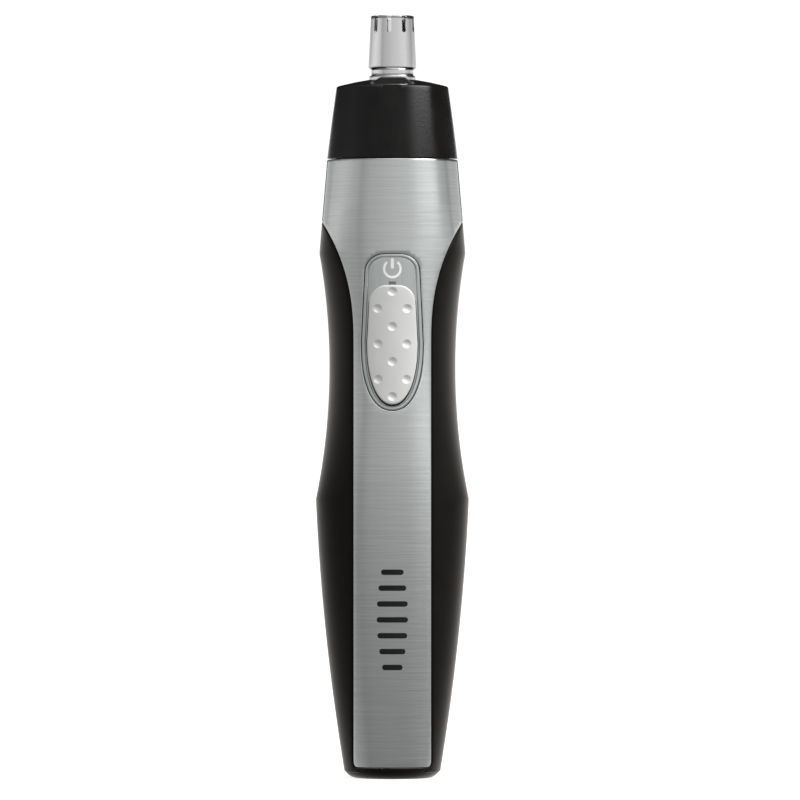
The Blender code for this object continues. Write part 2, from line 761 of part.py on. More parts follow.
def make_motor(colours, home, cutters):
    """A small can motor with two flat sides, its end cap, magnets, terminals and rotor."""
    can = upright("motor_can", MOTOR_LOW_Z, MOTOR_HIGH_Z, MOTOR_R, colours["zinc"], home)
    keep(can, flat_sides("can_flats", MOTOR_FLAT, cutters))
    boss_low, boss_high = MOTOR_HIGH_Z - 0.5 * MM, MOTOR_HIGH_Z + 1.2 * MM
    add(can, upright("can_boss", boss_low, boss_high, 3.0 * MM, None, cutters, 24))
    inside_high = MOTOR_HIGH_Z - MOTOR_WALL - 0.2 * MM
    inside = upright("can_inside", MOTOR_LOW_Z - LONG, inside_high, MOTOR_R - MOTOR_WALL, None, cutters)
    keep(inside, flat_sides("can_inside_flats", MOTOR_FLAT - MOTOR_WALL, cutters))
    cut(can, inside)
    bearing_r = SHAFT_R + 0.3 * MM
    cut(can, upright("can_bearing", CORE_HIGH_Z, MOTOR_HIGH_Z + LONG, bearing_r, None, cutters, 16))

    end_high = MOTOR_LOW_Z - 0.3 * MM
    end = upright("motor_end_cap", END_CAP_LOW_Z, end_high, MOTOR_R, colours["white"], home)
    keep(end, flat_sides("end_flats", MOTOR_FLAT, cutters))
    cut(end, upright("end_bearing", END_CAP_LOW_Z - LONG, CORE_LOW_Z, bearing_r, None, cutters, 16))

    for side, sign in (("left", -1), ("right", 1)):
        make_magnet(side, sign, colours, home, cutters)
        tab_x = sign * TERMINAL_X
        tab_low = (tab_x - 0.9 * MM, -0.25 * MM, 79.6 * MM)
        tab_high = (tab_x + 0.9 * MM, 0.25 * MM, 81.9 * MM)
        box(f"motor_terminal_{side}", tab_low, tab_high, colours["copper"], home)

    make_armature(colours, home, cutters)
    shaft_r = SHAFT_R - 0.05 * MM
    shaft = upright("motor_shaft", SHAFT_LOW_Z, SHAFT_HIGH_Z, shaft_r, colours["steel"], home, 16)
    set_origin(shaft, (0, 0, MOTOR_HIGH_Z))


def make_magnet(side, sign, colours, home, cutters):
    """An arc of ferrite on one side of the can."""
    name = f"motor_magnet_{side}"
    magnet = upright(name, MAGNET_LOW_Z, MAGNET_HIGH_Z, MAGNET_R, colours["magnet"], home)
    bore_low, bore_high = MAGNET_LOW_Z - LONG, MAGNET_HIGH_Z + LONG
    cut(magnet, upright(name + "_bore", bore_low, bore_high, MAGNET_BORE_R, None, cutters))
    near, far = sorted((sign * 3.0 * MM, sign * LONG))
    side_low, side_high = (near, -5.2 * MM, bore_low), (far, 5.2 * MM, bore_high)
    keep(magnet, box(name + "_side", side_low, side_high, None, cutters))


def make_armature(colours, home, cutters):
    """A three-pole armature: a core with T-shaped poles and the commutator below it."""
    core = upright("motor_armature", CORE_LOW_Z, CORE_HIGH_Z, CORE_R, colours["copper"], home, 18)
    rim_low, rim_high = CORE_LOW_Z + 0.2 * MM, CORE_HIGH_Z - 0.2 * MM
    rim = upright("pole_rim", rim_low, rim_high, POLE_R, None, cutters, 30)
    bore_low, bore_high = CORE_LOW_Z - LONG, CORE_HIGH_Z + LONG
    cut(rim, upright("pole_rim_bore", bore_low, bore_high, POLE_R - 0.9 * MM, None, cutters, 24))
    gaps = []
    for i in range(POLE_COUNT):
        turn = Matrix.Rotation(2 * math.pi * i / POLE_COUNT, 4, "Z")
        gap = box(f"pole_gap_{i}", mm(3.0, -0.6, 80), mm(6, 0.6, 110), None, cutters)
        gap.data.transform(turn)
        gaps.append(gap)
        arm_low, arm_high = mm(-4.2, -0.8, 90.4), mm(-1.0, 0.8, 101.6)
        arm = box(f"pole_arm_{i}", arm_low, arm_high, None, cutters)
        arm.data.transform(turn)
        add(core, arm)
    cut(rim, join_cutters("pole_gaps", gaps, cutters))
    add(core, rim)
    add(core, upright("commutator", 86.4 * MM, CORE_LOW_Z + 0.5 * MM, 1.9 * MM, None, cutters, 18))
    bore_r = SHAFT_R + 0.25 * MM
    cut(core, upright("armature_bore", bore_low, bore_high, bore_r, None, cutters, 16))
    set_origin(core, (0, 0, MOTOR_HIGH_Z))


# ---------------------------------------------------------------- drive and cutter head


def make_drive(colours, home, cutters):
    """The coupler on the motor's shaft, whose flat dog turns the rotor's hub."""
    profile = [(0, 119.2), (2.2, 119.2), (2.6, 118.8), (2.6, 110.4), (2.3, 110.1), (0, 110.1)]
    coupler = turned("drive_coupler", [(r * MM, z * MM) for r, z in profile], colours["white"], home, 24)
    bore_high = SHAFT_HIGH_Z + 0.4 * MM
    cut(coupler, upright("coupler_bore", bore_high - LONG, bore_high, SHAFT_R + 0.25 * MM, None, cutters, 16))
    dog_low = (-DOG_HALF, -DOG_HALF_DEPTH, 118.5 * MM)
    add(coupler, box("coupler_dog", dog_low, (DOG_HALF, DOG_HALF_DEPTH, DOG_TOP_Z), None, cutters))


def make_rotor(colours, home, cutters):
    hub_profile = [
        (0, 133.2), (2.9, 133.2), (3.05, 133.0), (3.05, 130.8), (2.7, 130.6), (2.7, 125.9),
        (4.1, 125.9), (4.1, 125.2), (2.9, 125.2), (2.9, 119.6), (0, 119.6),
    ]  # fmt: skip
    hub = turned("rotor_hub", [(r * MM, z * MM) for r, z in hub_profile], colours["white"], home, 24)
    socket_half, socket_depth = DOG_HALF + DOG_PLAY, DOG_HALF_DEPTH + DOG_PLAY
    socket_low = (-socket_half, -socket_depth, 118 * MM)
    cut(hub, box("hub_socket", socket_low, (socket_half, socket_depth, DOG_TOP_Z + 0.5 * MM), None, cutters))

    top_r, foot_r, wall = 3.28, 3.72, 0.35
    cup = [
        (0, 139.35), (top_r - 0.15, 139.35), (top_r, 139.2), (foot_r, 131.0),
        (foot_r - wall, 131.0), (foot_r - wall, 133.6), (top_r - wall, 138.9), (0, 138.9),
    ]  # fmt: skip
    rotor = turned("inner_cutter", [(r * MM, z * MM) for r, z in cup], colours["steel"], home, 30)
    windows = []
    for i in range(BLADE_COUNT):
        window = box(f"window_{i}", mm(1.2, -0.62, 135.6), mm(6, 0.62, 142), None, cutters)
        window.data.transform(Matrix.Rotation(2 * math.pi * (i + 0.35) / BLADE_COUNT, 4, "Z"))
        windows.append(window)
    cut(rotor, join_cutters("rotor_windows", windows, cutters))


def make_outer_cutter(colours, home, cutters):
    """The slotted steel guard, its undercut lip, waisted neck and the flange that the cap holds."""
    top, lip, lip_r = TOTAL_HEIGHT / MM, CUTTER_LIP_Z / MM, CUTTER_LIP_R / MM
    top_r, wall = CUTTER_TOP_R / MM, CUTTER_WALL / MM
    profile = [
        (0, top), (top_r - 0.25, top), (top_r, top - 0.25), (lip_r, lip + 0.15), (lip_r, lip),
        (3.86, 129.95), (3.8, 129.3), (3.95, 128.8), (4.25, 128.35), (4.25, 126.75), (5.3, 126.75),
        (5.3, 126.2), (3.85, 126.2), (3.85, 128.1), (3.4, 128.7), (3.4, 129.9), (lip_r - wall, lip),
        (top_r - wall, top - 0.35), (0, top - 0.35),
    ]  # fmt: skip
    guard = turned("outer_cutter", [(r * MM, z * MM) for r, z in profile], colours["steel"], home)
    slots = []
    outline = slot_outline(SLOT_WIDTH / 2, TOTAL_HEIGHT - SLOT_DEPTH, TOTAL_HEIGHT + 2 * MM)
    for i in range(SLOT_COUNT):
        slot = prism(f"guard_slot_{i}", outline, -6 * MM, -1.45 * MM, cutters)
        slot.data.transform(Matrix.Rotation(SLOT_TURN + 2 * math.pi * i / SLOT_COUNT, 4, "Z"))
        slots.append(slot)
    cut(guard, join_cutters("guard_slots", slots, cutters))


def make_cap(colours, home, cutters):
    """The black cap: a shallow dome on a cone, with a raised tab ahead of the cutter's neck."""
    seam, shoulder = SEAM_Z / MM + 0.15, CAP_SHOULDER_Z / MM
    foot_r, shoulder_r = SEAM_R / MM, CAP_SHOULDER_R / MM
    profile = [
        (4.6, 128.2), (6.9, 127.77), (9.2, 127.24), (9.95, 126.98), (shoulder_r, shoulder), (foot_r, seam),
        (foot_r - 1.2, seam), (shoulder_r - 1.3, shoulder - 0.9), (6.2, 127.0), (4.6, 127.15),
    ]  # fmt: skip
    points = [(r * MM, z * MM) for r, z in profile]
    cap = turned("nose_cap", points, colours["gloss_black"], home, 36, closed=True)
    tab_low = (-CAP_TAB_HALF, -6.2 * MM, 127.5 * MM)
    add(cap, box("cap_tab", tab_low, (CAP_TAB_HALF, -4.8 * MM, CAP_TAB_Z), None, cutters))
    stop = [(9.2, 121.4), (9.2, 120.6), (3.3, 120.6), (3.3, 121.4)]
    turned("head_retainer", [(r * MM, z * MM) for r, z in stop], colours["white"], home, closed=True)

    points = coil((3.55 * MM, 3.55 * MM), (121.95 * MM, 124.65 * MM))
    wire("rotor_spring", points, 0.22 * MM, colours["steel"], home)


# ---------------------------------------------------------------- leads


def make_leads(colours, home):
    """Insulated leads: cell to switch, switch to motor and cell to motor."""
    negative = [
        (4.9, -4.25, 11.0), (5.2, -4.6, 20), (5.6, -4.9, 34), (5.6, -5.2, 48), (4.4, -5.6, 55),
        (2.2, -5.8, 59.6), (1.2, -5.6, 62), (1.0, -5.5, 64.2),
    ]  # fmt: skip
    wire("battery_lead", smooth_route(negative), LEAD_R, colours["magnet"], home)
    positive = [
        (0, 4.3, 56.6), (0, 4.4, 60), (-0.6, 3.8, 66), (-1.2, 2.6, 72), (-2.1, 1.3, 77), (-2.6, 0.9, 80.4),
    ]  # fmt: skip
    wire("motor_lead_positive", smooth_route(positive), LEAD_R, colours["red"], home)
    switched = [
        (1.4, -4.4, 77.4), (1.7, -3.7, 78.2), (2.3, -2.2, 79.0), (2.6, -1.0, 79.6), (2.6, -0.9, 80.8),
    ]  # fmt: skip
    wire("motor_lead_switched", smooth_route(switched), LEAD_R, colours["magnet"], home)


def smooth_route(stations, per_span=3):
    """Points on a Catmull-Rom curve through stations given in millimetres."""
    points = [Vector(p) * MM for p in stations]
    padded = [2 * points[0] - points[1], *points, 2 * points[-1] - points[-2]]
    route = []
    for a, b, c, d in zip(padded, padded[1:], padded[2:], padded[3:]):
        for i in range(per_span):
            s = i / per_span
            bend = (2 * a - 5 * b + 4 * c - d) * s**2 + (3 * b - a - 3 * c + d) * s**3
            route.append(0.5 * (2 * b + (c - a) * s + bend))
    route.append(points[-1])
    return route


def main():
    clear_scene()
    home = new_collection("nose_hair_trimmer")
    cutters = new_collection("cutters")
    colours = make_materials()
    make_front_plate(colours, home, cutters)
    make_rear_plate(colours, home)
    make_battery_door(colours, home, cutters)
    make_grip(colours, home, cutters)
    make_housing(colours, home, cutters)
    make_head_seat(colours, home)
    make_switch(colours, home, cutters)
    make_battery(colours, home, cutters)
    make_motor(colours, home, cutters)
    make_drive(colours, home, cutters)
    make_rotor(colours, home, cutters)
    make_outer_cutter(colours, home, cutters)
    make_cap(colours, home, cutters)
    make_leads(colours, home)


main()
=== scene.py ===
"""Looks of the battery nose hair trimmer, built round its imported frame.

The trimmer stands on z = 0 with its switch facing -Y. The handle's covers are curved sheets. Each is
drawn as an outline on the handle's surface, unrolled to (arc, height), and made solid with rounded edges.
Lengths in this file are in millimetres until a mesh is made; Blender's own objects are in metres.
"""

import json
import math

import bmesh
import bpy
from mathutils import Matrix, Vector
from mathutils.geometry import delaunay_2d_cdt


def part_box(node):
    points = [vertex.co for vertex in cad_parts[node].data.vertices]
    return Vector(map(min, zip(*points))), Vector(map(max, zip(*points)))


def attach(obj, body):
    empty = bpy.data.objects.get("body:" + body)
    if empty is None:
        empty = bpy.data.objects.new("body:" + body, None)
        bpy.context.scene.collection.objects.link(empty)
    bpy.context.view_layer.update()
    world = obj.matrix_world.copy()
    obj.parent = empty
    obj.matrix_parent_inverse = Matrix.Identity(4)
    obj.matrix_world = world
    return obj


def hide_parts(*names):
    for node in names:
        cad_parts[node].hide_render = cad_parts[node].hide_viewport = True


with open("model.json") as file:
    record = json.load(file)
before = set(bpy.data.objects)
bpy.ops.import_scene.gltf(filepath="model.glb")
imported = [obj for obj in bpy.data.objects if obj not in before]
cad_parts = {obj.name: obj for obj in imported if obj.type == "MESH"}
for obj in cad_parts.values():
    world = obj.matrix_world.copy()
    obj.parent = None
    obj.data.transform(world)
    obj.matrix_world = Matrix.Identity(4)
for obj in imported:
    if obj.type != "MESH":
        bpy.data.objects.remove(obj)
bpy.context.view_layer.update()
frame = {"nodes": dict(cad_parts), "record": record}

MM = 0.001
MICRON = 0.000001


def edges_of(node):
    """A CAD node's lowest and highest corners, in millimetres."""
    low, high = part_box(node)
    return low / MM, high / MM


# -------- driving dimensions

TOP_Z = edges_of("outer_cutter")[1].z
SEAM_Z = edges_of("front_plate")[1].z + 0.1
STRIP_FOOT_Z = edges_of("front_plate")[0].z
GRIP_HALF = edges_of("rubber_grip")[1].x
DOOR_TOP_Z = edges_of("battery_door")[1].z
CAP_FOOT_Z = edges_of("nose_cap")[0].z
CAP_FOOT_R = edges_of("nose_cap")[1].x
BUTTON_LOW, BUTTON_HIGH = edges_of("switch_button")

GRIP_TIP_Z = 102.1
UPPER_RIDGE_Z = 96.6
WAIST_Z = 75.5
LOWER_RIDGE_Z = 51.2
UPPER_RIDGE_HALF = 13.4
WAIST_HALF = 11.57
WAIST_CURVE = 0.00424
FOOT_TAPER = 0.045
FOOT_CURVE = 0.00121
STRIP_HALF = 7.13
FRONT_DEPTH = 11.95
FRONT_FOOT_DEPTH = 8.5
FRONT_STRAIGHT_Z = 66.0
SWITCH_MID_Z = 79.8
BEZEL_TOP_Z = 96.07
BEZEL_FOOT_Z = 67.5
STRIP_FLARE_Z = 80.0
SIDE_START = 0.62
CORE_HALF_WIDTHS = [
    (0, 8.75), (12, 10.35), (30, 12.0), (51.2, 12.6),
    (75.5, 11.5), (96.6, 12.75), (105, 12.7), (113.6, 11.98),
]
BACK_DEPTHS = [(0, 8.6), (12, 10.3), (30, 12.1), (51.2, 13.1), (75.5, 12.7), (96.6, 12.6), (113.6, 11.98)]

ARC_RADIUS = 12.0
HALF_ROUND = math.pi * ARC_RADIUS
QUARTER_ROUND = HALF_ROUND / 2
SEAM_GAP = 0.14
COVER_THICK = 1.2
FOOT_DRAW = 2.2
FOOT_RISE = 1.95
LEAF_FOOT_Z = 1.1
PRINT_PROUD = 0.03
MARK_BARS = 7
MARK_LOW_Z = 20.6
MARK_PITCH = 2.9
MARK_HALF = 2.9
MARK_TAPER = 0.9
MARK_RADIUS = 0.5


# -------- the handle's surface


def evenly(start, end, count):
    """Evenly spaced values from start to end, both included."""
    return [start + (end - start) * i / count for i in range(count + 1)]


def smooth_step(value):
    value = min(1.0, max(0.0, value))
    return value * value * (3 - 2 * value)


def through(stations, z):
    """A smooth curve through (height, value) stations: cubic Hermite with finite-difference slopes."""
    z = min(max(z, stations[0][0]), stations[-1][0])
    last = len(stations) - 1

    def slope(i):
        before, after = stations[max(0, i - 1)], stations[min(last, i + 1)]
        return (after[1] - before[1]) / (after[0] - before[0])

    for i in range(last):
        (z0, v0), (z1, v1) = stations[i], stations[i + 1]
        if z <= z1:
            span = z1 - z0
            s = (z - z0) / span
            h00, h10 = 2 * s**3 - 3 * s**2 + 1, s**3 - 2 * s**2 + s
            h01, h11 = -2 * s**3 + 3 * s**2, s**3 - s**2
            return h00 * v0 + h10 * span * slope(i) + h01 * v1 + h11 * span * slope(i + 1)
    return stations[-1][1]


def outline_half(z):
    """Half width of the whole handle: a convex foot, a hollow waist and a straight shoulder."""
    if z < LOWER_RIDGE_Z:
        below = LOWER_RIDGE_Z - z
        return GRIP_HALF - FOOT_TAPER * below - FOOT_CURVE * below**2
    if z < UPPER_RIDGE_Z:
        return WAIST_HALF + WAIST_CURVE * (z - WAIST_Z) ** 2
    share = (z - UPPER_RIDGE_Z) / (SEAM_Z - UPPER_RIDGE_Z)
    return UPPER_RIDGE_HALF + share * (CAP_FOOT_R - UPPER_RIDGE_HALF)


def core_half(z):
    """Half width of the handle without the bulge of the grips."""
    return min(through(CORE_HALF_WIDTHS, z), outline_half(z))


def front_depth(z):
    """How far the front centre line stands ahead of the axis: straight above, drawn back to the foot."""
    if z >= FRONT_STRAIGHT_Z:
        return FRONT_DEPTH
    share = (FRONT_STRAIGHT_Z - z) / FRONT_STRAIGHT_Z
    return FRONT_DEPTH - (FRONT_DEPTH - FRONT_FOOT_DEPTH) * share**2


def strip_half(z):
    """Half width of the front and rear strips, which widen to the outline at the grip's tip."""
    rise = max(0.0, z - STRIP_FLARE_Z) / (GRIP_TIP_Z - STRIP_FLARE_Z)
    return STRIP_HALF + (outline_half(GRIP_TIP_Z) - STRIP_HALF) * rise**2.4


def surface(angle, z):
    """A point of the handle at this angle from the front centre line, positive towards +X."""
    depth = front_depth(z) if math.cos(angle) >= 0 else through(BACK_DEPTHS, z)
    side = smooth_step((abs(math.sin(angle)) - SIDE_START) / (1 - SIDE_START))
    bulge = max(0.0, outline_half(z) - core_half(z)) * side
    return Vector(((core_half(z) + bulge) * math.sin(angle), -(depth + 0.5 * bulge) * math.cos(angle), z))


def on_handle(arc, z, depth=0.0):
    """A point of the handle at this arc length from the front centre line, sunk along the normal."""
    angle, step = arc / ARC_RADIUS, 0.02
    point = surface(angle, z)
    across = surface(angle + step / 4, z) - surface(angle - step / 4, z)
    up = surface(angle, z + 2 * step) - surface(angle, z - 2 * step)
    return point - across.cross(up).normalized() * depth


def arc_at(z, x):
    """The arc length at which the handle's surface is this far to the side."""
    low, high = 0.0, math.pi / 2
    for _ in range(26):
        middle = (low + high) / 2
        if surface(middle, z).x < x:
            low = middle
        else:
            high = middle
    return low * ARC_RADIUS


# -------- mesh builders


def linked(name, data):
    """A new object in the scene."""
    made = bpy.data.objects.new(name, data)
    bpy.context.scene.collection.objects.link(made)
    return made


def add_object(name, data, body, material, nodes):
    """Adds a mesh or curve that moves with a body and stands in for any CAD nodes named."""
    piece = linked(name, data)
    data.materials.append(material)
    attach(piece, body)
    if nodes:
        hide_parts(*nodes)


def smoothed(mesh, sharp):
    """Smooth shading, except over edges sharper than this angle in degrees."""
    mesh.shade_smooth()
    mesh.set_sharp_from_angle(angle=math.radians(sharp))
    return mesh


def mesh_of(made, name, sharp=38):
    bmesh.ops.recalc_face_normals(made, faces=made.faces)
    mesh = bpy.data.meshes.new(name)
    made.to_mesh(mesh)
    made.free()
    return smoothed(mesh, sharp)


def spaced(loop, step):
    """A closed outline's own points, with evenly spaced ones between them."""
    points = [Vector(p) for p in loop]
    result = []
    for here, there in zip(points, points[1:] + points[:1]):
        length = (there - here).length
        count = max(1, round(length / step))
        result += [here.lerp(there, i / count) for i in range(count)]
    return result


def drawn_in(loop, distance):
    """The outline moved inwards, for one that runs anticlockwise."""
    moved = []
    for before, here, after in zip(loop[-1:] + loop[:-1], loop, loop[1:] + loop[:1]):
        along = (after - before).normalized()
        moved.append(here + Vector((-along.y, along.x)) * distance)
    return moved


def inside(point, loop):
    """Whether a point lies in an outline, by counting crossings."""
    hit = False
    for a, b in zip(loop, loop[1:] + loop[:1]):
        if (a.y > point.y) != (b.y > point.y) and point.x < (b.x - a.x) * (point.y - a.y) / (b.y - a.y) + a.x:
            hit = not hit
    return hit


def grid_in(loops, step, clear):
    """Staggered grid points inside the first outline and outside the others, clear of their edges."""
    rim = [p for loop in loops for p in loop]
    cells = {}
    for p in rim:
        cells.setdefault((round(p.x / step), round(p.y / step)), []).append(p)
    low_x, high_x = min(p.x for p in rim), max(p.x for p in rim)
    low_y, high_y = min(p.y for p in rim), max(p.y for p in rim)
    found = []
    for row in range(int((high_y - low_y) / step) + 1):
        y = low_y + step * (row + 0.5)
        for column in range(int((high_x - low_x) / step) + 1):
            point = Vector((low_x + step * (column + 0.25 + 0.5 * (row % 2)), y))
            i, j = round(point.x / step), round(point.y / step)
            near = [p for di in (-1, 0, 1) for dj in (-1, 0, 1) for p in cells.get((i + di, j + dj), [])]
            if any((p - point).length < clear for p in near):
                continue
            if inside(point, loops[0]) and not any(inside(point, hole) for hole in loops[1:]):
                found.append(point)
    return found


def cover(outline, place, thick, edge, step, holes=(), extra=(), rounds=3, draft=0.0):
    """A sheet with rounded upper edges. place(arc, z, depth) puts a point of the flat outline in space.

    The outline runs anticlockwise in (arc, height), and the holes clockwise. Its sides lean out by the draft.
    """
    loops = [spaced(loop, step * 0.6) for loop in (outline, *holes)]
    inner = [drawn_in(loop, edge) for loop in loops]
    extra = [Vector(p) for p in extra]
    grid = grid_in(inner, step, 0.55 * step)
    grid = [p for p in grid if all((p - q).length > 0.5 * step for q in extra)]
    points = [p for loop in inner for p in loop] + extra + grid
    borders, start = [], 0
    for loop in inner:
        borders.append([start + i for i in range(len(loop))])
        start += len(loop)
    sides = [(a, b) for border in borders for a, b in zip(border, border[1:] + border[:1])]
    flat, _, faces, origin, _, _ = delaunay_2d_cdt(points, sides, [], 0, 1e-7)
    made = bmesh.new()
    top = add_verts(made, [place(p.x, p.y, 0.0) for p in flat])
    new_of = {old: new for new, olds in enumerate(origin) for old in olds}
    centres = [sum((flat[i] for i in face), Vector((0, 0))) / len(face) for face in faces]
    kept = [
        face
        for face, centre in zip(faces, centres)
        if inside(centre, inner[0]) and not any(inside(centre, hole) for hole in inner[1:])
    ]
    for face in kept:
        made.faces.new([top[i] for i in face])
    back_at = {i: flat[i] for i in range(len(flat))}
    walls = []
    for loop, outer, border in zip(inner, loops, borders):
        ring = [top[new_of[i]] for i in border]
        for k in range(1, rounds + 1):
            turn = math.pi / 2 * k / rounds
            share, sink = math.sin(turn), edge * (1 - math.cos(turn))
            line = [a.lerp(b, share) for a, b in zip(loop, outer)]
            lower = add_verts(made, [place(p.x, p.y, sink) for p in line])
            join_rings(made, ring, lower)
            ring = lower
        walls.append((ring, [new_of[i] for i in border]))
        for i, p in zip(border, drawn_in(outer, -draft)):
            back_at[new_of[i]] = p
    back = add_verts(made, [place(back_at[i].x, back_at[i].y, thick) for i in range(len(flat))])
    for face in kept:
        made.faces.new([back[i] for i in reversed(face)])
    for ring, border in walls:
        join_rings(made, ring, [back[i] for i in border])
    loose = [v for v in made.verts if not v.link_faces]
    bmesh.ops.delete(made, geom=loose, context="VERTS")
    return made


def add_verts(made, spots):
    """New vertices at points in millimetres."""
    return [made.verts.new(Vector(spot) * MM) for spot in spots]


def join_rings(made, upper, lower):
    for i in range(len(upper)):
        j = (i + 1) % len(upper)
        made.faces.new((upper[i], upper[j], lower[j], lower[i]))


def turned_bmesh(profile, steps=96, closed=False):
    """A turned solid about Z from (radius, height) points that run down its outer side."""
    made = bmesh.new()
    turns = evenly(0.0, 2 * math.pi, steps)[:-1]
    rings = []
    for radius, z in profile:
        if radius == 0:
            rings.append([made.verts.new((0, 0, z * MM))])
            continue
        reach = radius * MM
        rings.append([made.verts.new((reach * math.cos(a), reach * math.sin(a), z * MM)) for a in turns])
    pairs = list(zip(rings, rings[1:])) + ([(rings[-1], rings[0])] if closed else [])
    for upper, lower in pairs:
        for i in range(steps):
            j = (i + 1) % steps
            if len(upper) == 1:
                made.faces.new((upper[0], lower[i], lower[j]))
            elif len(lower) == 1:
                made.faces.new((upper[j], upper[i], lower[0]))
            else:
                made.faces.new((upper[i], lower[i], lower[j], upper[j]))
    return made


def rounded(profile, radii, steps=4):
    """A profile with its corners rounded. radii gives each corner's radius by its place in the list."""
    result = []
    for i, here in enumerate(profile):
        radius = radii.get(i, 0.0)
        if not radius or i in (0, len(profile) - 1):
            result.append(tuple(here))
            continue
        here, before, after = Vector(here), Vector(profile[i - 1]), Vector(profile[i + 1])
        start = here + (before - here).normalized() * radius
        end = here + (after - here).normalized() * radius
        for k in range(steps + 1):
            s = k / steps
            point = start * (1 - s) ** 2 + here * 2 * s * (1 - s) + end * s**2
            result.append((point.x, point.y))
    return result


def cut_with(mesh, cutters, name, sharp, operation="DIFFERENCE"):
    """The mesh after Booleans with temporary objects, smoothed."""
    base = linked(name + "_base", mesh)
    for cutter in cutters:
        step = base.modifiers.new("cut", "BOOLEAN")
        step.operation = operation
        step.solver = "EXACT"
        step.object = cutter
    bpy.context.view_layer.update()
    graph = bpy.context.evaluated_depsgraph_get()
    result = bpy.data.meshes.new_from_object(base.evaluated_get(graph), depsgraph=graph)
    result.name = name
    for spent in (base, *cutters):
        bpy.data.objects.remove(spent)
    return smoothed(result, sharp)


def helper(made, name):
    """A temporary object for cut_with."""
    return linked(name, mesh_of(made, name))


# -------- shader building


class Nodes:
    """Short calls that add linked nodes to a material or world."""

    def __init__(self, tree):
        self.tree = tree

    def add(self, kind, **settings):
        node = self.tree.nodes.new(kind)
        for key, value in settings.items():
            setattr(node, key, value)
        return node

    def link(self, source, target):
        if isinstance(source, bpy.types.NodeSocket):
            self.tree.links.new(source, target)
        else:
            target.default_value = source

    def math(self, operation, *values):
        node = self.add("ShaderNodeMath", operation=operation)
        for value, socket in zip(values, node.inputs):
            self.link(value, socket)
        return node.outputs[0]

    def spread(self, value, low, high, to_low=0.0, to_high=1.0, smooth=False):
        node = self.add("ShaderNodeMapRange", interpolation_type="SMOOTHSTEP" if smooth else "LINEAR")
        for socket, item in zip(node.inputs, (value, low, high, to_low, to_high)):
            self.link(item, socket)
        return node.outputs[0]

    def noise(self, vector, scale, detail=2.0, roughness=0.5):
        node = self.add("ShaderNodeTexNoise")
        self.link(vector, node.inputs["Vector"])
        set_inputs(node, {"Scale": scale, "Detail": detail, "Roughness": roughness})
        return node.outputs["Fac"]

    def stretched(self, scale):
        """Object coordinates in metres, stretched by a factor on each axis."""
        coordinates = self.add("ShaderNodeTexCoord")
        mapping = self.add("ShaderNodeMapping")
        mapping.inputs["Scale"].default_value = scale
        self.tree.links.new(coordinates.outputs["Object"], mapping.inputs["Vector"])
        return mapping.outputs["Vector"]

    def ramp(self, value, stops):
        node = self.add("ShaderNodeValToRGB")
        self.link(value, node.inputs["Fac"])
        elements = node.color_ramp.elements
        while len(elements) < len(stops):
            elements.new(0.5)
        for element, (position, level) in zip(elements, stops):
            element.position = position
            element.color = (*level, 1.0) if isinstance(level, tuple) else (level, level, level, 1.0)
        return node.outputs["Color"]

    def mix(self, factor, first, second):
        node = self.add("ShaderNodeMix", data_type="RGBA")
        self.link(factor, node.inputs["Factor"])
        for item, socket in ((first, node.inputs[6]), (second, node.inputs[7])):
            self.link((*item, 1.0) if isinstance(item, tuple) else item, socket)
        return node.outputs[2]

    def bump(self, height, distance, strength=1.0):
        node = self.add("ShaderNodeBump")
        set_inputs(node, {"Strength": strength, "Distance": distance})
        self.link(height, node.inputs["Height"])
        return node.outputs["Normal"]


def set_inputs(node, values):
    for name, value in values.items():
        node.inputs[name].default_value = value


def new_material(name):
    made = bpy.data.materials.new(name)
    made.use_nodes = True
    shader = made.node_tree.nodes["Principled BSDF"]
    return made, Nodes(made.node_tree), shader


def brushed_metal(name, colour, along, roughness):
    """Metal brushed across the handle (along=False) or lengthways: fine streaks in tone, gloss and height."""
    made, nodes, shader = new_material(name)
    fine = (1, 1, 0.014) if along else (0.016, 0.016, 1)
    long = (1, 1, 0.005) if along else (0.012, 0.012, 1)
    hairs = nodes.noise(nodes.stretched(fine), 6500, 2.0, 0.5)
    bands = nodes.noise(nodes.stretched(long), 3000, 2.0, 0.5)
    streak = nodes.math("ADD", nodes.math("MULTIPLY", hairs, 0.7), nodes.math("MULTIPLY", bands, 0.3))
    darker = tuple(0.94 * c for c in colour)
    lighter = tuple(min(1.0, 1.06 * c) for c in colour)
    nodes.link(nodes.mix(nodes.spread(streak, 0.36, 0.64), darker, lighter), shader.inputs["Base Color"])
    rough = nodes.spread(streak, 0.35, 0.65, roughness - 0.006, roughness + 0.008)
    nodes.link(rough, shader.inputs["Roughness"])
    nodes.link(nodes.bump(streak, 3 * MICRON, 0.1), shader.inputs["Normal"])
    set_inputs(shader, {"Metallic": 1.0, "Anisotropic": 0.8, "Anisotropic Rotation": 0.0 if along else 0.25})
    tangent = nodes.add("ShaderNodeTangent", direction_type="RADIAL", axis="Z")
    nodes.link(tangent.outputs["Tangent"], shader.inputs["Tangent"])
    return made


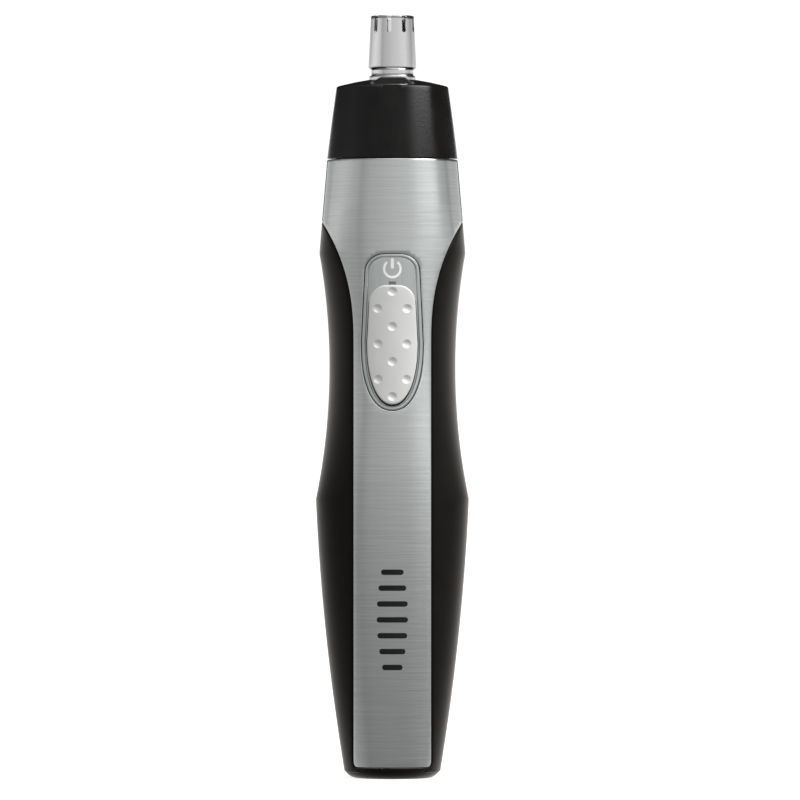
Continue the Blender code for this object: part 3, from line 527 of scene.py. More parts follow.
def moulded(name, colour, roughness, specular, grain, depth, metallic=0.0, tone=0.12):
    """A moulded plastic or rubber: slight tone and gloss drift and a fine grain, its depth in microns."""
    made, nodes, shader = new_material(name)
    drift = nodes.noise(nodes.stretched((1, 1, 1)), 260, 2.0)
    fine = nodes.noise(nodes.stretched((1, 1, 1)), grain, 2.0, 0.6)
    darker = tuple((1 - tone) * c for c in colour)
    lighter = tuple((1 + tone) * c for c in colour)
    nodes.link(nodes.mix(nodes.spread(drift, 0.35, 0.65), darker, lighter), shader.inputs["Base Color"])
    both = nodes.math("ADD", nodes.math("MULTIPLY", drift, 0.5), nodes.math("MULTIPLY", fine, 0.5))
    gloss = nodes.spread(both, 0.35, 0.65, roughness - 0.3 * tone, roughness + 0.3 * tone)
    nodes.link(gloss, shader.inputs["Roughness"])
    nodes.link(nodes.bump(fine, depth * MICRON, 0.6), shader.inputs["Normal"])
    set_inputs(shader, {"Metallic": metallic, "Specular IOR Level": specular})
    return made


def polished(name, colour, roughness, turned=True):
    """Polished or turned metal with faint rings round Z."""
    made, nodes, shader = new_material(name)
    rings = nodes.noise(nodes.stretched((0.01, 0.01, 1) if turned else (1, 1, 1)), 5200, 2.0)
    marks = nodes.noise(nodes.stretched((1, 1, 1)), 420, 3.0)
    darker = tuple(0.94 * c for c in colour)
    nodes.link(nodes.mix(nodes.spread(rings, 0.35, 0.65), darker, colour), shader.inputs["Base Color"])
    nodes.link(nodes.spread(marks, 0.3, 0.7, roughness * 0.8, roughness * 1.25), shader.inputs["Roughness"])
    nodes.link(nodes.bump(rings, 4 * MICRON, 0.4), shader.inputs["Normal"])
    shader.inputs["Metallic"].default_value = 1.0
    return made


def rubber_material():
    """Soft black rubber that greys towards grazing angles, with a fine pebbled skin."""
    made = moulded("grip_rubber", (0.0036, 0.0030, 0.0026), 0.40, 0.08, 5200, 30)
    sheen = {"Sheen Weight": 0.75, "Sheen Roughness": 0.34, "Sheen Tint": (1.0, 0.93, 0.86, 1.0)}
    set_inputs(made.node_tree.nodes["Principled BSDF"], {**sheen, "Specular Tint": (1.0, 0.94, 0.88, 1.0)})
    return made


MATERIALS = {
    "brushed_metal": brushed_metal("brushed_across", (0.62, 0.643, 0.637), False, 0.185),
    "bezel_metal": brushed_metal("brushed_along", (0.58, 0.605, 0.60), True, 0.30),
    "satin_button": moulded("satin_silver", (0.72, 0.72, 0.71), 0.42, 0.5, 5000, 3, 0.3, 0.02),
    "grip_rubber": rubber_material(),
    "body_black": moulded("textured_black", (0.013, 0.013, 0.013), 0.42, 0.4, 3600, 40),
    "housing_black": moulded("housing_black", (0.016, 0.016, 0.016), 0.38, 0.45, 2600, 20),
    "seal_rubber": moulded("seal_rubber", (0.02, 0.02, 0.021), 0.5, 0.4, 3000, 10),
    "screw_steel": polished("screw_steel", (0.55, 0.56, 0.58), 0.28, False),
    "cap_black": moulded("cap_black", (0.0056, 0.0050, 0.0046), 0.16, 0.38, 2100, 20),
    "cutter_steel": polished("cutter_steel", (0.585, 0.59, 0.587), 0.05, False),
    "white_plastic": moulded("white_plastic", (0.74, 0.73, 0.70), 0.4, 0.5, 1800, 10),
    "spring_steel": polished("spring_steel", (0.58, 0.58, 0.57), 0.2, False),
    "zinc_plate": polished("zinc_plate", (0.55, 0.56, 0.58), 0.3, False),
    "ferrite": moulded("ferrite", (0.035, 0.035, 0.04), 0.6, 0.4, 2400, 30),
    "copper_winding": polished("copper_winding", (0.62, 0.30, 0.16), 0.3),
    "contact_copper": polished("contact_copper", (0.68, 0.42, 0.24), 0.25, False),
    "cell_wrap": moulded("cell_wrap", (0.05, 0.09, 0.17), 0.22, 0.5, 900, 10),
    "tray_grey": moulded("tray_grey", (0.16, 0.16, 0.17), 0.45, 0.45, 2200, 20),
    "board_green": moulded("board_green", (0.02, 0.10, 0.04), 0.35, 0.5, 1500, 10),
    "lead_black": moulded("lead_black", (0.02, 0.02, 0.02), 0.4, 0.5, 1500, 10),
    "lead_red": moulded("lead_red", (0.38, 0.02, 0.015), 0.4, 0.5, 1500, 10),
}


BLADE_STEEL = polished("blade_steel", (0.93, 0.93, 0.92), 0.12, False)
PRINT_LIGHT = moulded("print_light", (0.9, 0.9, 0.89), 0.5, 0.4, 2000, 2, 0.0, 0.02)
PRINT_GREY = moulded("print_grey", (0.13, 0.135, 0.135), 0.45, 0.4, 2000, 2, 0.0, 0.04)
# Dark ink for the strip's printed mark, also used as the painted shadow round the switch button.
DARK_PRINT_AND_SHADOW = moulded("dark_print_and_shadow", (0.012, 0.012, 0.012), 0.45, 0.15, 2000, 2)


def add_piece(name, made, body, slot, *nodes, sharp=38, material=None):
    """Adds a piece in its slot's finish, or in another one where the looks need it."""
    mesh = made if isinstance(made, bpy.types.Mesh) else mesh_of(made, name, sharp)
    add_object(name, mesh, body, material or MATERIALS[slot], nodes)


# -------- covers of the handle


def leaf_side(first, last, shift, count=44):
    """Points of the strips' edge between two heights, moved to the side, closer together at its top."""
    heights = [first + (last - first) * (1 - (1 - i / count) ** 1.6) for i in range(count + 1)]
    return [(arc_at(z, strip_half(z) + shift), z) for z in heights]


FRONT_EDGE_ARC = QUARTER_ROUND * 0.905
TIP_Z = 101.75


def strip_corner(half, foot, radius=0.9, count=5):
    """The rounded lower right corner of a strip, from its foot to its side."""
    turns = evenly(0.0, math.pi / 2, count)
    return [(half - radius + radius * math.sin(a), foot + radius - radius * math.cos(a)) for a in turns]


def front_outline():
    foot = STRIP_FOOT_Z
    right = strip_corner(arc_at(foot + 1, STRIP_HALF), foot)
    right += leaf_side(foot + 1.5, TIP_Z, 0.0)
    right += [(FRONT_EDGE_ARC * 1.012, TIP_Z + 1.2), (FRONT_EDGE_ARC, TIP_Z + 4)]
    right.append((FRONT_EDGE_ARC, SEAM_Z - 0.1))
    return right + [(-arc, z) for arc, z in reversed(right)]


def switch_outline(top, flat, corner, side_half, wide_half, foot, grow=0.0, count=9, full=0.87):
    """A tapered outline with a flat top, elliptical corners and a full rounded foot, anticlockwise."""
    drop = SWITCH_MID_Z - foot
    right = [
        (wide_half * math.sin(a) ** full, SWITCH_MID_Z - drop * abs(math.cos(a)) ** full)
        for a in evenly(0.0, math.pi / 2, 2 * count)
    ]
    for a in evenly(0.0, math.pi / 2, count):
        right.append((flat + (side_half - flat) * math.cos(a), top - corner + corner * math.sin(a)))
    whole = right + [(-x, z) for x, z in reversed(right)]
    clean = [Vector(whole[0])]
    for p in whole[1:]:
        if (Vector(p) - clean[-1]).length > 0.02:
            clean.append(Vector(p))
    if (clean[0] - clean[-1]).length < 0.02:
        clean.pop()
    return drawn_in(clean, -grow) if grow else clean


def bezel_outline(grow):
    return to_arc(switch_outline(BEZEL_TOP_Z, 1.45, 3.2, 5.05, 5.71, BEZEL_FOOT_Z, grow))


def button_outline(top, side_half, wide_half, foot):
    return to_arc(switch_outline(top, 1.2, 3.1, side_half, wide_half, foot, full=0.92))


def to_arc(loop):
    """An outline drawn in (x, z) as (arc, z) on the handle."""
    return [(signed_arc(x, z), z) for x, z in loop]


def signed_arc(x, z):
    return math.copysign(arc_at(z, abs(x)), x)


def make_front_plate():
    hole = bezel_outline(SEAM_GAP * 0.5)[::-1]
    made = cover(front_outline(), on_handle, COVER_THICK, 0.13, 0.6, [hole])
    add_piece("front_plate_brushed", made, "handle", "brushed_metal", "front_plate")
    make_strip_mark()


def make_strip_mark():
    """A plain printed mark low on the strip: a stack of round-ended bars, shorter at its top and foot."""
    for i in range(MARK_BARS):
        half = MARK_HALF - MARK_TAPER * abs(2 * i / (MARK_BARS - 1) - 1) ** 2
        made = bmesh.new()
        print_sheet(made, on_handle, bar_edges(MARK_LOW_Z + MARK_PITCH * i, half, MARK_RADIUS), PRINT_PROUD)
        add_piece(f"strip_mark_{i}", made, "handle", "body_black", material=DARK_PRINT_AND_SHADOW)


def bar_edges(z, half, radius):
    """The lower and upper edges of a level bar with round ends, as pairs of points."""
    edges = []
    for turn in evenly(0.0, math.pi, 40):
        x = -half * math.cos(turn)
        end = max(0.0, abs(x) - (half - radius))
        tall = max(0.02, math.sqrt(max(0.0, radius**2 - end**2)))
        edges.append(((x, z - tall), (x, z + tall)))
    return edges


def print_sheet(made, place, edges, sunk):
    """A thin printed strip between pairs of (arc, height) points, just proud of the surface."""
    rows = []
    for first, second in edges:
        spots = [(*first, -PRINT_PROUD), (*second, -PRINT_PROUD), (*second, sunk), (*first, sunk)]
        rows.append(add_verts(made, [place(*spot) for spot in spots]))
    sweep(made, rows)


def make_rear_plate():
    right = [(HALF_ROUND - a, z) for a, z in leaf_side(DOOR_TOP_Z + 0.25, TIP_Z + 0.1, 0.0, 30)]
    seam = FRONT_EDGE_ARC + SEAM_GAP
    right += [(QUARTER_ROUND * 1.02, TIP_Z + 0.55), (QUARTER_ROUND * 0.965, TIP_Z + 0.75)]
    right += [(seam + 0.1, TIP_Z + 1.6), (seam, TIP_Z + 4), (seam, SEAM_Z - 0.1)]
    left = [(2 * HALF_ROUND - a, z) for a, z in reversed(right)]
    outline = list(reversed(right + left))
    made = cover(outline, on_handle, COVER_THICK, 0.16, 0.95)
    add_piece("rear_plate_moulded", made, "handle", "body_black", "rear_plate")


def leaf_outline(mirrored):
    """The grip's leaf on one side. Its edges run round the strips' feet and end in a rounded tip."""
    half, foot, radius = STRIP_HALF + SEAM_GAP, STRIP_FOOT_Z - SEAM_GAP, 0.9 + SEAM_GAP
    corner = [(arc_at(max(z, foot), x), z) for x, z in strip_corner(half, foot, radius)]
    front = [(corner[0][0], LEAF_FOOT_Z), *corner, *leaf_side(foot + radius + 0.6, TIP_Z, SEAM_GAP)]
    rear = [(HALF_ROUND - a, z) for a, z in reversed(front)]
    reach = front[-1][0]
    turns = evenly(0.0, math.pi, 8)[1:-1]
    half = QUARTER_ROUND - reach
    tip = [(QUARTER_ROUND - half * math.cos(a), TIP_Z + 0.35 * math.sin(a)) for a in turns]
    loop = list(reversed(front + tip + rear))
    if mirrored:
        loop = [(-a, z) for a, z in reversed(loop)]
    return loop


def base_pad():
    """The pad under the handle, which the leaves grow out of: its rim is rounded down to the flat foot."""
    made = bmesh.new()
    count, inset = 120, 0.02
    stations = [(inset, STRIP_FOOT_Z - SEAM_GAP)]
    for a in evenly(0.0, math.pi / 2, 8):
        stations.append((inset + FOOT_DRAW * (1 - math.cos(a)), FOOT_RISE * (1 - math.sin(a))))
    rings = []
    for depth, z in stations:
        ring = []
        for arc in (2 * HALF_ROUND * i / count for i in range(count)):
            place = on_handle(arc, max(z, 0.05), depth)
            place.z = z
            ring.append(made.verts.new(place * MM))
        rings.append(ring)
    sweep(made, rings)
    return made


def make_grip():
    outlines = [leaf_outline(mirrored) for mirrored in (False, True)]
    leaves = [helper(cover(loop, on_handle, COVER_THICK, 0.3, 0.9), "leaf") for loop in outlines]
    mesh = cut_with(mesh_of(base_pad(), "pad"), leaves, "rubber_grip_moulded", 38, "UNION")
    add_piece("rubber_grip_moulded", mesh, "handle", "grip_rubber", "rubber_grip")


def on_bezel_rim(arc, z, depth):
    return on_handle(arc, z, depth + 0.12)


def on_bezel_floor(arc, z, depth):
    return on_handle(arc, z, depth + 0.36)


def make_bezel():
    """The switch's surround: a rim round a floor that is sunk a little, with the stem's slot in it."""
    inner = bezel_outline(-0.62)
    rim = cover(bezel_outline(-SEAM_GAP * 0.3), on_bezel_rim, 0.9, 0.1, 0.5, [inner[::-1]])
    half, low, high = 1.35, 73.9, 84.5
    slot = [(-half, low), (-half, high), (half, high), (half, low)]
    floor = cover(bezel_outline(-0.45), on_bezel_floor, 0.6, 0.05, 0.5, [slot])
    for made, name in ((rim, "switch_bezel_rim"), (floor, "switch_bezel_floor")):
        add_piece(name, made, "handle", "bezel_metal", "switch_bezel")
    make_power_symbol()
    make_stop_print()


def make_stop_print():
    """A short printed line just above the button, where it stops."""
    z, half = BUTTON_HIGH.z + 0.36, 0.26
    made = bmesh.new()
    edges = [((x, z - half), (x, z + half)) for x in (-0.66, -0.2, 0.2, 0.66)]
    print_sheet(made, on_bezel_floor, edges, 0.05)
    add_piece("switch_stop_print", made, "handle", "bezel_metal", material=PRINT_GREY)


def make_power_symbol():
    """A printed ring, open at its top, with a short bar: thin sheets just proud of the bezel."""
    centre, radius, stroke, bar_half, sunk = 93.35, 1.54, 0.42, 0.27, 0.06
    opening = math.radians(38)
    radii = (radius - stroke / 2, radius + stroke / 2)
    turns = evenly(math.pi / 2 + opening, 5 * math.pi / 2 - opening, 48)
    ring = [to_arc([(r * math.cos(a), centre + r * math.sin(a)) for r in radii]) for a in turns]
    bar = [((-bar_half, z), (bar_half, z)) for z in (centre + 0.05 + 0.5 * i for i in range(5))]
    made = bmesh.new()
    print_sheet(made, on_bezel_floor, ring, sunk)
    print_sheet(made, on_bezel_floor, bar, sunk)
    add_piece("power_symbol_print", made, "handle", "satin_button", material=PRINT_LIGHT)


def sweep(made, rows):
    """A closed tube through sections that have the same number of corners."""
    for first, second in zip(rows, rows[1:]):
        join_rings(made, first, second)
    made.faces.new(rows[0])
    made.faces.new(list(reversed(rows[-1])))


def make_battery_door():
    foot = STRIP_FOOT_Z + 0.1
    right = strip_corner(arc_at(foot + 1, STRIP_HALF), foot)
    right += leaf_side(foot + 1.5, DOOR_TOP_Z - 0.8, 0.0, 24)
    edge = arc_at(DOOR_TOP_Z, STRIP_HALF)
    right += [(edge - 0.25, DOOR_TOP_Z - 0.25), (edge - 0.8, DOOR_TOP_Z)]
    loop = right + [(-a, z) for a, z in reversed(right)]
    outline = [(HALF_ROUND - a, z) for a, z in reversed(loop)]
    made = cover(outline, on_handle, COVER_THICK, 0.16, 0.9)
    for i in range(6):
        add_rib(made, 45.6 + 1.5 * i, 3.6 - 0.25 * i)
    add_block(made, (-2.5, 10.3, 56.5), (2.5, 12.3, 57.4))
    add_piece("battery_door_moulded", made, "door", "body_black", "battery_door")


def add_rib(made, z, half, radius=0.42):
    """A finger rib across the door: a half-round bar with rounded ends."""
    rows = []
    turns = evenly(0.0, 2 * math.pi, 10)[:-1]
    for share in evenly(-1.0, 1.0, 18):
        swell = radius * math.sqrt(max(0.02, 1 - abs(share) ** 6))
        arc = HALF_ROUND + half * share
        spots = [(arc, z + swell * math.cos(a), 0.1 - 0.8 * swell * math.sin(a)) for a in turns]
        rows.append(add_verts(made, [on_handle(*spot) for spot in spots]))
    sweep(made, rows)


def add_block(made, low, high):
    low, high = Vector(low), Vector(high)
    size, middle = high - low, (high + low) / 2
    place = Matrix.Translation(middle * MM) @ Matrix.Diagonal((*(size * MM), 1.0))
    bmesh.ops.create_cube(made, size=1.0, matrix=place)


# -------- switch button

BUTTON_HALF = 4.34
BUTTON_LIFT = 0.85
DIMPLE_R = 0.80
DIMPLE_DEPTH = 0.27
DIMPLE_RINGS = [(0.2, 8), (0.4, 14), (0.58, 20), (0.72, 26), (0.80, 30), (0.86, 32), (1.0, 32)]
DIMPLES = [(0.0, 89.2 - 6.38 * i) for i in range(4)]
DIMPLES += [(side * 2.55, 86.1 - 6.45 * i) for side in (-1, 1) for i in range(3)]


def on_button(x, z, depth):
    """On the crown of the button, which dips at each dimple."""
    lift = BUTTON_LIFT
    for cx, cz in DIMPLES:
        away = math.hypot(x - cx, z - cz)
        if away < DIMPLE_R and depth < 0.5:
            lift -= DIMPLE_DEPTH * (1 - (away / DIMPLE_R) ** 2)
    return on_handle(x, z, depth - lift)


def on_bezel_slide(arc, z, depth):
    """Above the bezel's floor, with room to slide over it."""
    return on_handle(arc, z, depth + 0.02)


def dimple_points():
    """Rings of points in and round each dimple, so that the mesh follows it."""
    points = []
    for cx, cz in DIMPLES:
        points.append((cx, cz))
        for ring, (radius, count) in enumerate(DIMPLE_RINGS):
            turns = [2 * math.pi * (i + 0.5 * (ring % 2)) / count for i in range(count)]
            points += [(cx + radius * math.cos(a), cz + radius * math.sin(a)) for a in turns]
    return points


def make_button():
    """The slide button and the stem under it, with a dark sheet round the button's sides and foot that is a
    painted shadow.
    """
    top, foot = BUTTON_HIGH.z, BUTTON_LOW.z
    outline = button_outline(top - 0.12, 4.0, BUTTON_HALF, foot + 0.25)
    made = cover(outline, on_button, 0.95, 0.22, 0.36, extra=dimple_points(), rounds=5, draft=0.1)
    add_block(made, (-1.2, -12.2, 74.0), (1.2, -8.65, 80.0))
    add_piece("switch_button_satin", made, "switch", "satin_button", "switch_button", sharp=60)
    # A dark sheet a little wider than the button, just above the bezel's floor: painted shadow round its
    # sides and foot.
    shadow_skirt = button_outline(top - 0.5, 4.36, BUTTON_HALF + 0.44, foot - 0.15)
    made = cover(shadow_skirt, on_bezel_slide, 0.12, 0.04, 0.5)
    add_piece("switch_button_painted_shadow", made, "switch", "satin_button", material=DARK_PRINT_AND_SHADOW)


# -------- cutter head


CAP_SHOULDER_R = 10.25
CAP_SHOULDER_Z = 126.95
CAP_SWELL = 0.05
TAB_HALF = 3.9
TAB_FLAT_HALF = 2.1
SLOT_COUNT = 9
SLOT_TURN = math.radians(-8.6)
SLOT_WIDTH = 0.86
SLOT_DEPTH = 3.15
BLADE_COUNT = 5
BLADE_TURN = math.radians(43.2)


def make_cap():
    """The black cap, with a faint pointed face down its front, and the tab ahead of the neck."""
    outer = [(4.42, 128.0), (4.5, 128.2), (6.9, 127.77), (9.2, 127.24), (CAP_SHOULDER_R, CAP_SHOULDER_Z)]
    for i in range(1, 15):
        share = i / 14
        swell = 4 * CAP_SWELL * share * (1 - share)
        radius = CAP_SHOULDER_R + share * (CAP_FOOT_R - CAP_SHOULDER_R) + swell
        outer.append((radius, CAP_SHOULDER_Z + share * (CAP_FOOT_Z - CAP_SHOULDER_Z)))
    outer = ringed(rounded(outer, {1: 0.12, 4: 0.3}, 6), 0.9)
    inner = [(CAP_FOOT_R - 1.2, CAP_FOOT_Z), (9.0, 125.8), (8.2, 126.4), (6.2, 127.0), (4.42, 127.15)]
    base = mesh_of(turned_bmesh(outer + inner, 144, closed=True), "cap_base")
    mesh = cut_with(base, [face_cutter()], "nose_cap_moulded", 22)
    add_piece("nose_cap_moulded", mesh, "head", "cap_black", "nose_cap")
    add_piece("nose_cap_tab", tab(), "head", "cap_black", sharp=50)


def ringed(profile, step):
    """The profile with extra points on its long spans, so that smooth shading stays near its corners."""
    result = []
    for first, last in zip(profile, profile[1:]):
        first, last = Vector(first), Vector(last)
        count = max(1, round((last - first).length / step))
        result += [tuple(first.lerp(last, i / count)) for i in range(count)]
    return result + [profile[-1]]


def face_cutter():
    """Planes a flat face down the front of the cap's cone, steeper than the cone, so that it has a point."""
    steep, near, near_z, far = 0.150, -10.06, 126.9, -16.0
    low, high = 114.0, 128.5
    section = [(near - (near_z - z) * steep, z) for z in (low, high)] + [(far, high), (far, low)]
    made = bmesh.new()
    sweep(made, [add_verts(made, [(x, y, z) for y, z in section]) for x in (-5.0, 5.0)])
    return helper(made, "face")


def tab():
    """A low tab on the dome, with rounded edges and sloping ends that sink into it."""
    made = bmesh.new()
    turns = evenly(0.0, math.pi / 2, 4)
    rows, radius = [], 0.28
    for x in evenly(-TAB_HALF, TAB_HALF, 24):
        fall = max(0.0, (abs(x) - TAB_FLAT_HALF) / (TAB_HALF - TAB_FLAT_HALF))
        near, far, top = -5.3, -7.38 + 0.12 * fall, 128.50 - 1.35 * fall**1.3
        section = [(near, top - 0.9)]
        for a in turns:
            section.append((near - radius + radius * math.cos(a), top - radius + radius * math.sin(a)))
        for a in turns:
            section.append((far + radius - radius * math.sin(a), top - radius + radius * math.cos(a)))
        section.append((far, top - 1.3))
        rows.append(add_verts(made, [(x, y, z) for y, z in section]))
    sweep(made, rows)
    return made


def slot_cutters(count, turn, width, foot, near):
    """Upright slots with round feet round Z, as one cutter. They start this far from the axis."""
    made = bmesh.new()
    half, far, over = width / 2, 6, TOP_Z + 3
    turns = evenly(math.pi, 2 * math.pi, 12)
    outline = [(half * math.cos(a), foot + half + half * math.sin(a)) for a in turns]
    outline += [(half, over), (-half, over)]
    for i in range(count):
        spin = Matrix.Rotation(turn + 2 * math.pi * i / count, 4, "Z")
        front = add_verts(made, [spin @ Vector((x, -far, z)) for x, z in outline])
        back = add_verts(made, [spin @ Vector((x, -near, z)) for x, z in outline])
        sweep(made, [front, back])
    return helper(made, "slots")


def make_outer_cutter():
    """The slotted guard tube, with an undercut lip at its foot and a waisted neck."""
    top, lip, wall = TOP_Z, 130.55, 0.42
    outer = [
        (0, top), (3.78, top), (3.95, top - 0.14), (4.40, lip + 0.12), (4.40, lip - 0.1),
        (3.86, 129.98), (3.90, 129.0), (4.24, 128.86), (4.28, 126.75), (5.3, 126.75), (5.3, 126.2),
    ]
    inner = [
        (3.85, 126.2), (3.85, 128.1), (3.4, 128.7), (3.4, 129.9), (4.40 - wall, lip),
        (3.96 - wall, top - 0.5), (3.3, top - 0.4), (0, top - 0.38),
    ]
    outer = rounded(outer, {1: 0.07, 2: 0.08, 3: 0.06, 4: 0.05, 6: 0.05, 7: 0.06})
    base = mesh_of(turned_bmesh(ringed(outer, 0.5) + inner, 144), "guard")
    slots = slot_cutters(SLOT_COUNT, SLOT_TURN, SLOT_WIDTH, top - SLOT_DEPTH, 1.45)
    mesh = cut_with(base, [slots], "outer_cutter_polished", 30)
    add_piece("outer_cutter_polished", mesh, "head", "cutter_steel", "outer_cutter")


def make_inner_cutter():
    """The blade cup that turns inside the guard."""
    top_r, foot_r, wall = 3.28, 3.72, 0.35
    cup = [
        (0, 139.35), (top_r - 0.15, 139.35), (top_r, 139.2), (foot_r, 131.0),
        (foot_r - wall, 131.0), (foot_r - wall, 133.6), (top_r - wall, 138.9), (0, 138.9),
    ]
    base = mesh_of(turned_bmesh(ringed(cup, 0.6), 120), "cup")
    windows = slot_cutters(BLADE_COUNT, BLADE_TURN, 1.3, 135.6, 1.2)
    mesh = cut_with(base, [windows], "inner_cutter_ground", 30)
    add_piece("inner_cutter_ground", mesh, "cutter", "cutter_steel", "inner_cutter", material=BLADE_STEEL)


# -------- turned and small inner pieces


def make_rotor_hub():
    """The hub that carries the inner cutter, with the socket that the drive's dog turns."""
    hub = [
        (0, 133.2), (2.9, 133.2), (3.05, 133.0), (3.05, 130.8), (2.7, 130.6), (2.7, 125.9),
        (4.1, 125.9), (4.1, 125.2), (2.9, 125.2), (2.9, 119.6), (0, 119.6),
    ]
    base = mesh_of(turned_bmesh(rounded(hub, {1: 0.1, 2: 0.1, 6: 0.15, 7: 0.15, 9: 0.2}), 72), "hub")
    socket = bmesh.new()
    add_block(socket, (-2.05, -0.85, 118.0), (2.05, 0.85, 123.5))
    mesh = cut_with(base, [helper(socket, "socket")], "rotor_hub_moulded", 30)
    add_piece("rotor_hub_moulded", mesh, "cutter", "white_plastic", "rotor_hub")


def add_turned(name, body, slot, node, profile, radii):
    """Adds a turned ring with its corners rounded."""
    made = turned_bmesh(rounded(profile, radii), closed=True)
    add_piece(name, made, body, slot, node)


def make_head_seat():
    """The spigot that the head pushes onto, with its rubber ring, and the seal in its bore."""
    seat = [
        (9.3, 118.0), (9.6, 117.7), (9.6, 115.8), (9.0, 115.7), (9.0, 114.7), (9.6, 114.6), (9.6, 112.9),
        (8.8, 112.9), (8.8, 109.3), (8.0, 109.3), (8.0, 116.8), (4.6, 116.8), (4.6, 118.0),
    ]
    radii = {1: 0.25, 2: 0.1, 5: 0.1, 6: 0.1}
    add_turned("head_seat_moulded", "handle", "housing_black", "head_seat", seat, radii)
    lip = [(4.3, 118.3), (4.3, 116.4), (3.1, 116.4), (3.1, 117.6), (3.5, 118.3)]
    radii = {1: 0.15, 2: 0.15, 3: 0.2}
    add_turned("shaft_seal_rubber", "handle", "seal_rubber", "shaft_seal", lip, radii)
    ring_r, ring_z, wire = 9.75, 115.2, 0.42
    turns = evenly(math.pi / 2, -3 * math.pi / 2, 20)[:-1]
    ring = [(ring_r + wire * math.cos(a), ring_z + wire * math.sin(a)) for a in turns]
    made = turned_bmesh(ring, 120, closed=True)
    add_piece("spigot_ring_rubber", made, "handle", "seal_rubber", "spigot_ring")


def make_head_retainer():
    """The disc that keeps the cutter's parts in the cap."""
    disc = [(9.2, 121.4), (9.2, 120.6), (3.3, 120.6), (3.3, 121.4)]
    radii = {1: 0.15, 2: 0.15}
    add_turned("head_retainer_moulded", "head", "white_plastic", "head_retainer", disc, radii)


def make_drive_coupler():
    """The coupler on the motor's shaft, with its flat dog."""
    coupler = [
        (0, 119.2), (2.2, 119.2), (2.6, 118.8), (2.6, 110.4),
        (2.3, 110.1), (1.25, 110.1), (1.25, 112.9), (0, 112.9),
    ]
    made = turned_bmesh(rounded(coupler, {1: 0.2, 2: 0.15, 3: 0.2}), 72)
    add_block(made, (-1.7, -0.5, 118.5), (1.7, 0.5, 123.0))
    add_piece("drive_coupler_moulded", made, "drive", "white_plastic", "drive_coupler")


CELL_Y = 0.8
CELL_FOOT_Z = 11.0
CELL_TOP_Z = 54.7


def make_battery():
    """The AAA cell, with its raised contact at the top."""
    cell = [
        (0, CELL_TOP_Z + 0.8), (1.9, CELL_TOP_Z + 0.8), (1.9, CELL_TOP_Z), (4.7, CELL_TOP_Z),
        (5.25, 54.3), (5.25, 11.6), (4.9, CELL_FOOT_Z), (0, CELL_FOOT_Z),
    ]
    made = turned_bmesh(rounded(cell, {1: 0.4, 3: 0.1, 4: 0.35, 5: 0.4, 6: 0.3}))
    bmesh.ops.translate(made, verts=made.verts, vec=(0, CELL_Y * MM, 0))
    add_piece("battery_cell", made, "handle", "cell_wrap", "battery", material=cell_material())


def cell_material():
    """A dark blue sleeve with a copper-coloured band, and bare steel at the cell's two ends."""
    made, nodes, shader = new_material("cell_sleeve")
    coordinates = nodes.add("ShaderNodeTexCoord")
    parts = nodes.add("ShaderNodeSeparateXYZ")
    nodes.link(coordinates.outputs["Object"], parts.inputs[0])
    above = nodes.math("GREATER_THAN", parts.outputs[2], (CELL_TOP_Z - 0.25) * MM)
    below = nodes.math("LESS_THAN", parts.outputs[2], (CELL_FOOT_Z + 0.5) * MM)
    band = nodes.math("GREATER_THAN", parts.outputs[2], 44 * MM)
    bare = nodes.math("MAXIMUM", above, below)
    sleeve = nodes.mix(band, (0.05, 0.09, 0.17), (0.42, 0.25, 0.10))
    nodes.link(nodes.mix(bare, sleeve, (0.6, 0.6, 0.6)), shader.inputs["Base Color"])
    nodes.link(bare, shader.inputs["Metallic"])
    scuff = nodes.noise(nodes.stretched((1, 1, 1)), 600, 3.0)
    nodes.link(nodes.spread(scuff, 0.3, 0.7, 0.18, 0.32), shader.inputs["Roughness"])
    return made


def make_springs():
    """Both springs as coils of round wire."""
    low, high = (3.9, 7.7), (2.2, 10.45)
    coil("battery_spring_wire", "handle", "battery_spring", 0.25, 4.5, low, high, CELL_Y)
    low, high = (3.55, 121.95), (3.55, 124.65)
    coil("rotor_spring_wire", "head", "rotor_spring", 0.22, 4, low, high, 0.0)


def coil(name, body, node, wire, turns, low, high, centre_y):
    """A helix of round wire between two (radius, height) stations, about an upright axis."""
    curve = bpy.data.curves.new(name, "CURVE")
    curve.dimensions = "3D"
    curve.bevel_depth = wire * MM
    curve.bevel_resolution = 4
    curve.use_fill_caps = True
    spline = curve.splines.new("POLY")
    per_turn = 32
    total = int(turns * per_turn)
    spline.points.add(total)
    for i in range(total + 1):
        radius, z = Vector(low).lerp(Vector(high), i / total)
        turn = 2 * math.pi * i / per_turn
        x, y = radius * math.cos(turn), centre_y + radius * math.sin(turn)
        spline.points[i].co = (x * MM, y * MM, z * MM, 1.0)
    add_object(name, curve, body, MATERIALS["spring_steel"], [node])


def finish_frame_nodes():
    """The CAD nodes that stay shown take their slot's finish."""
    slots = {row["node"]: row["material_slot"] for row in frame["record"]["subparts"]}
    for name, node in frame["nodes"].items():
        node.data.materials.clear()
        node.data.materials.append(MATERIALS[slots[name]])


# -------- studio

# Bearings are in degrees: 0 is the way that the switch faces (-Y), and 90 is +X. The lists pair a bearing
# with a level, or in FOOT_LIFT with an angle in degrees.
LAMP_LEVEL = 3.0
HIGH_LAMP_LEVEL = 1.9
OVERHEAD_LEVEL = 0.9
BACKDROP_LEVEL = 1.1
BAND_TOP = 7.5
BAND_TILT = 3.5
BAND = [
    (-180, 0.60), (-148, 0.95), (-132, 0.90), (-120, 1.30), (-95, 1.33), (-75, 1.10), (-60, 0.80),
    (-53, 0.60), (-42, 0.70), (-18, 0.80), (2, 0.90), (22, 0.96), (44, 1.06), (66, 1.12), (88, 0.88),
    (100, 0.80), (109, 0.65), (117, 0.95), (126, 1.05), (145, 1.05), (180, 0.60),
]
ABOVE = [
    (-180, 0.02), (-140, 0.04), (-85, 0.35), (-50, 0.28), (0, 0.26),
    (30, 0.38), (82, 0.22), (95, 0.10), (140, 0.04), (180, 0.02),
]
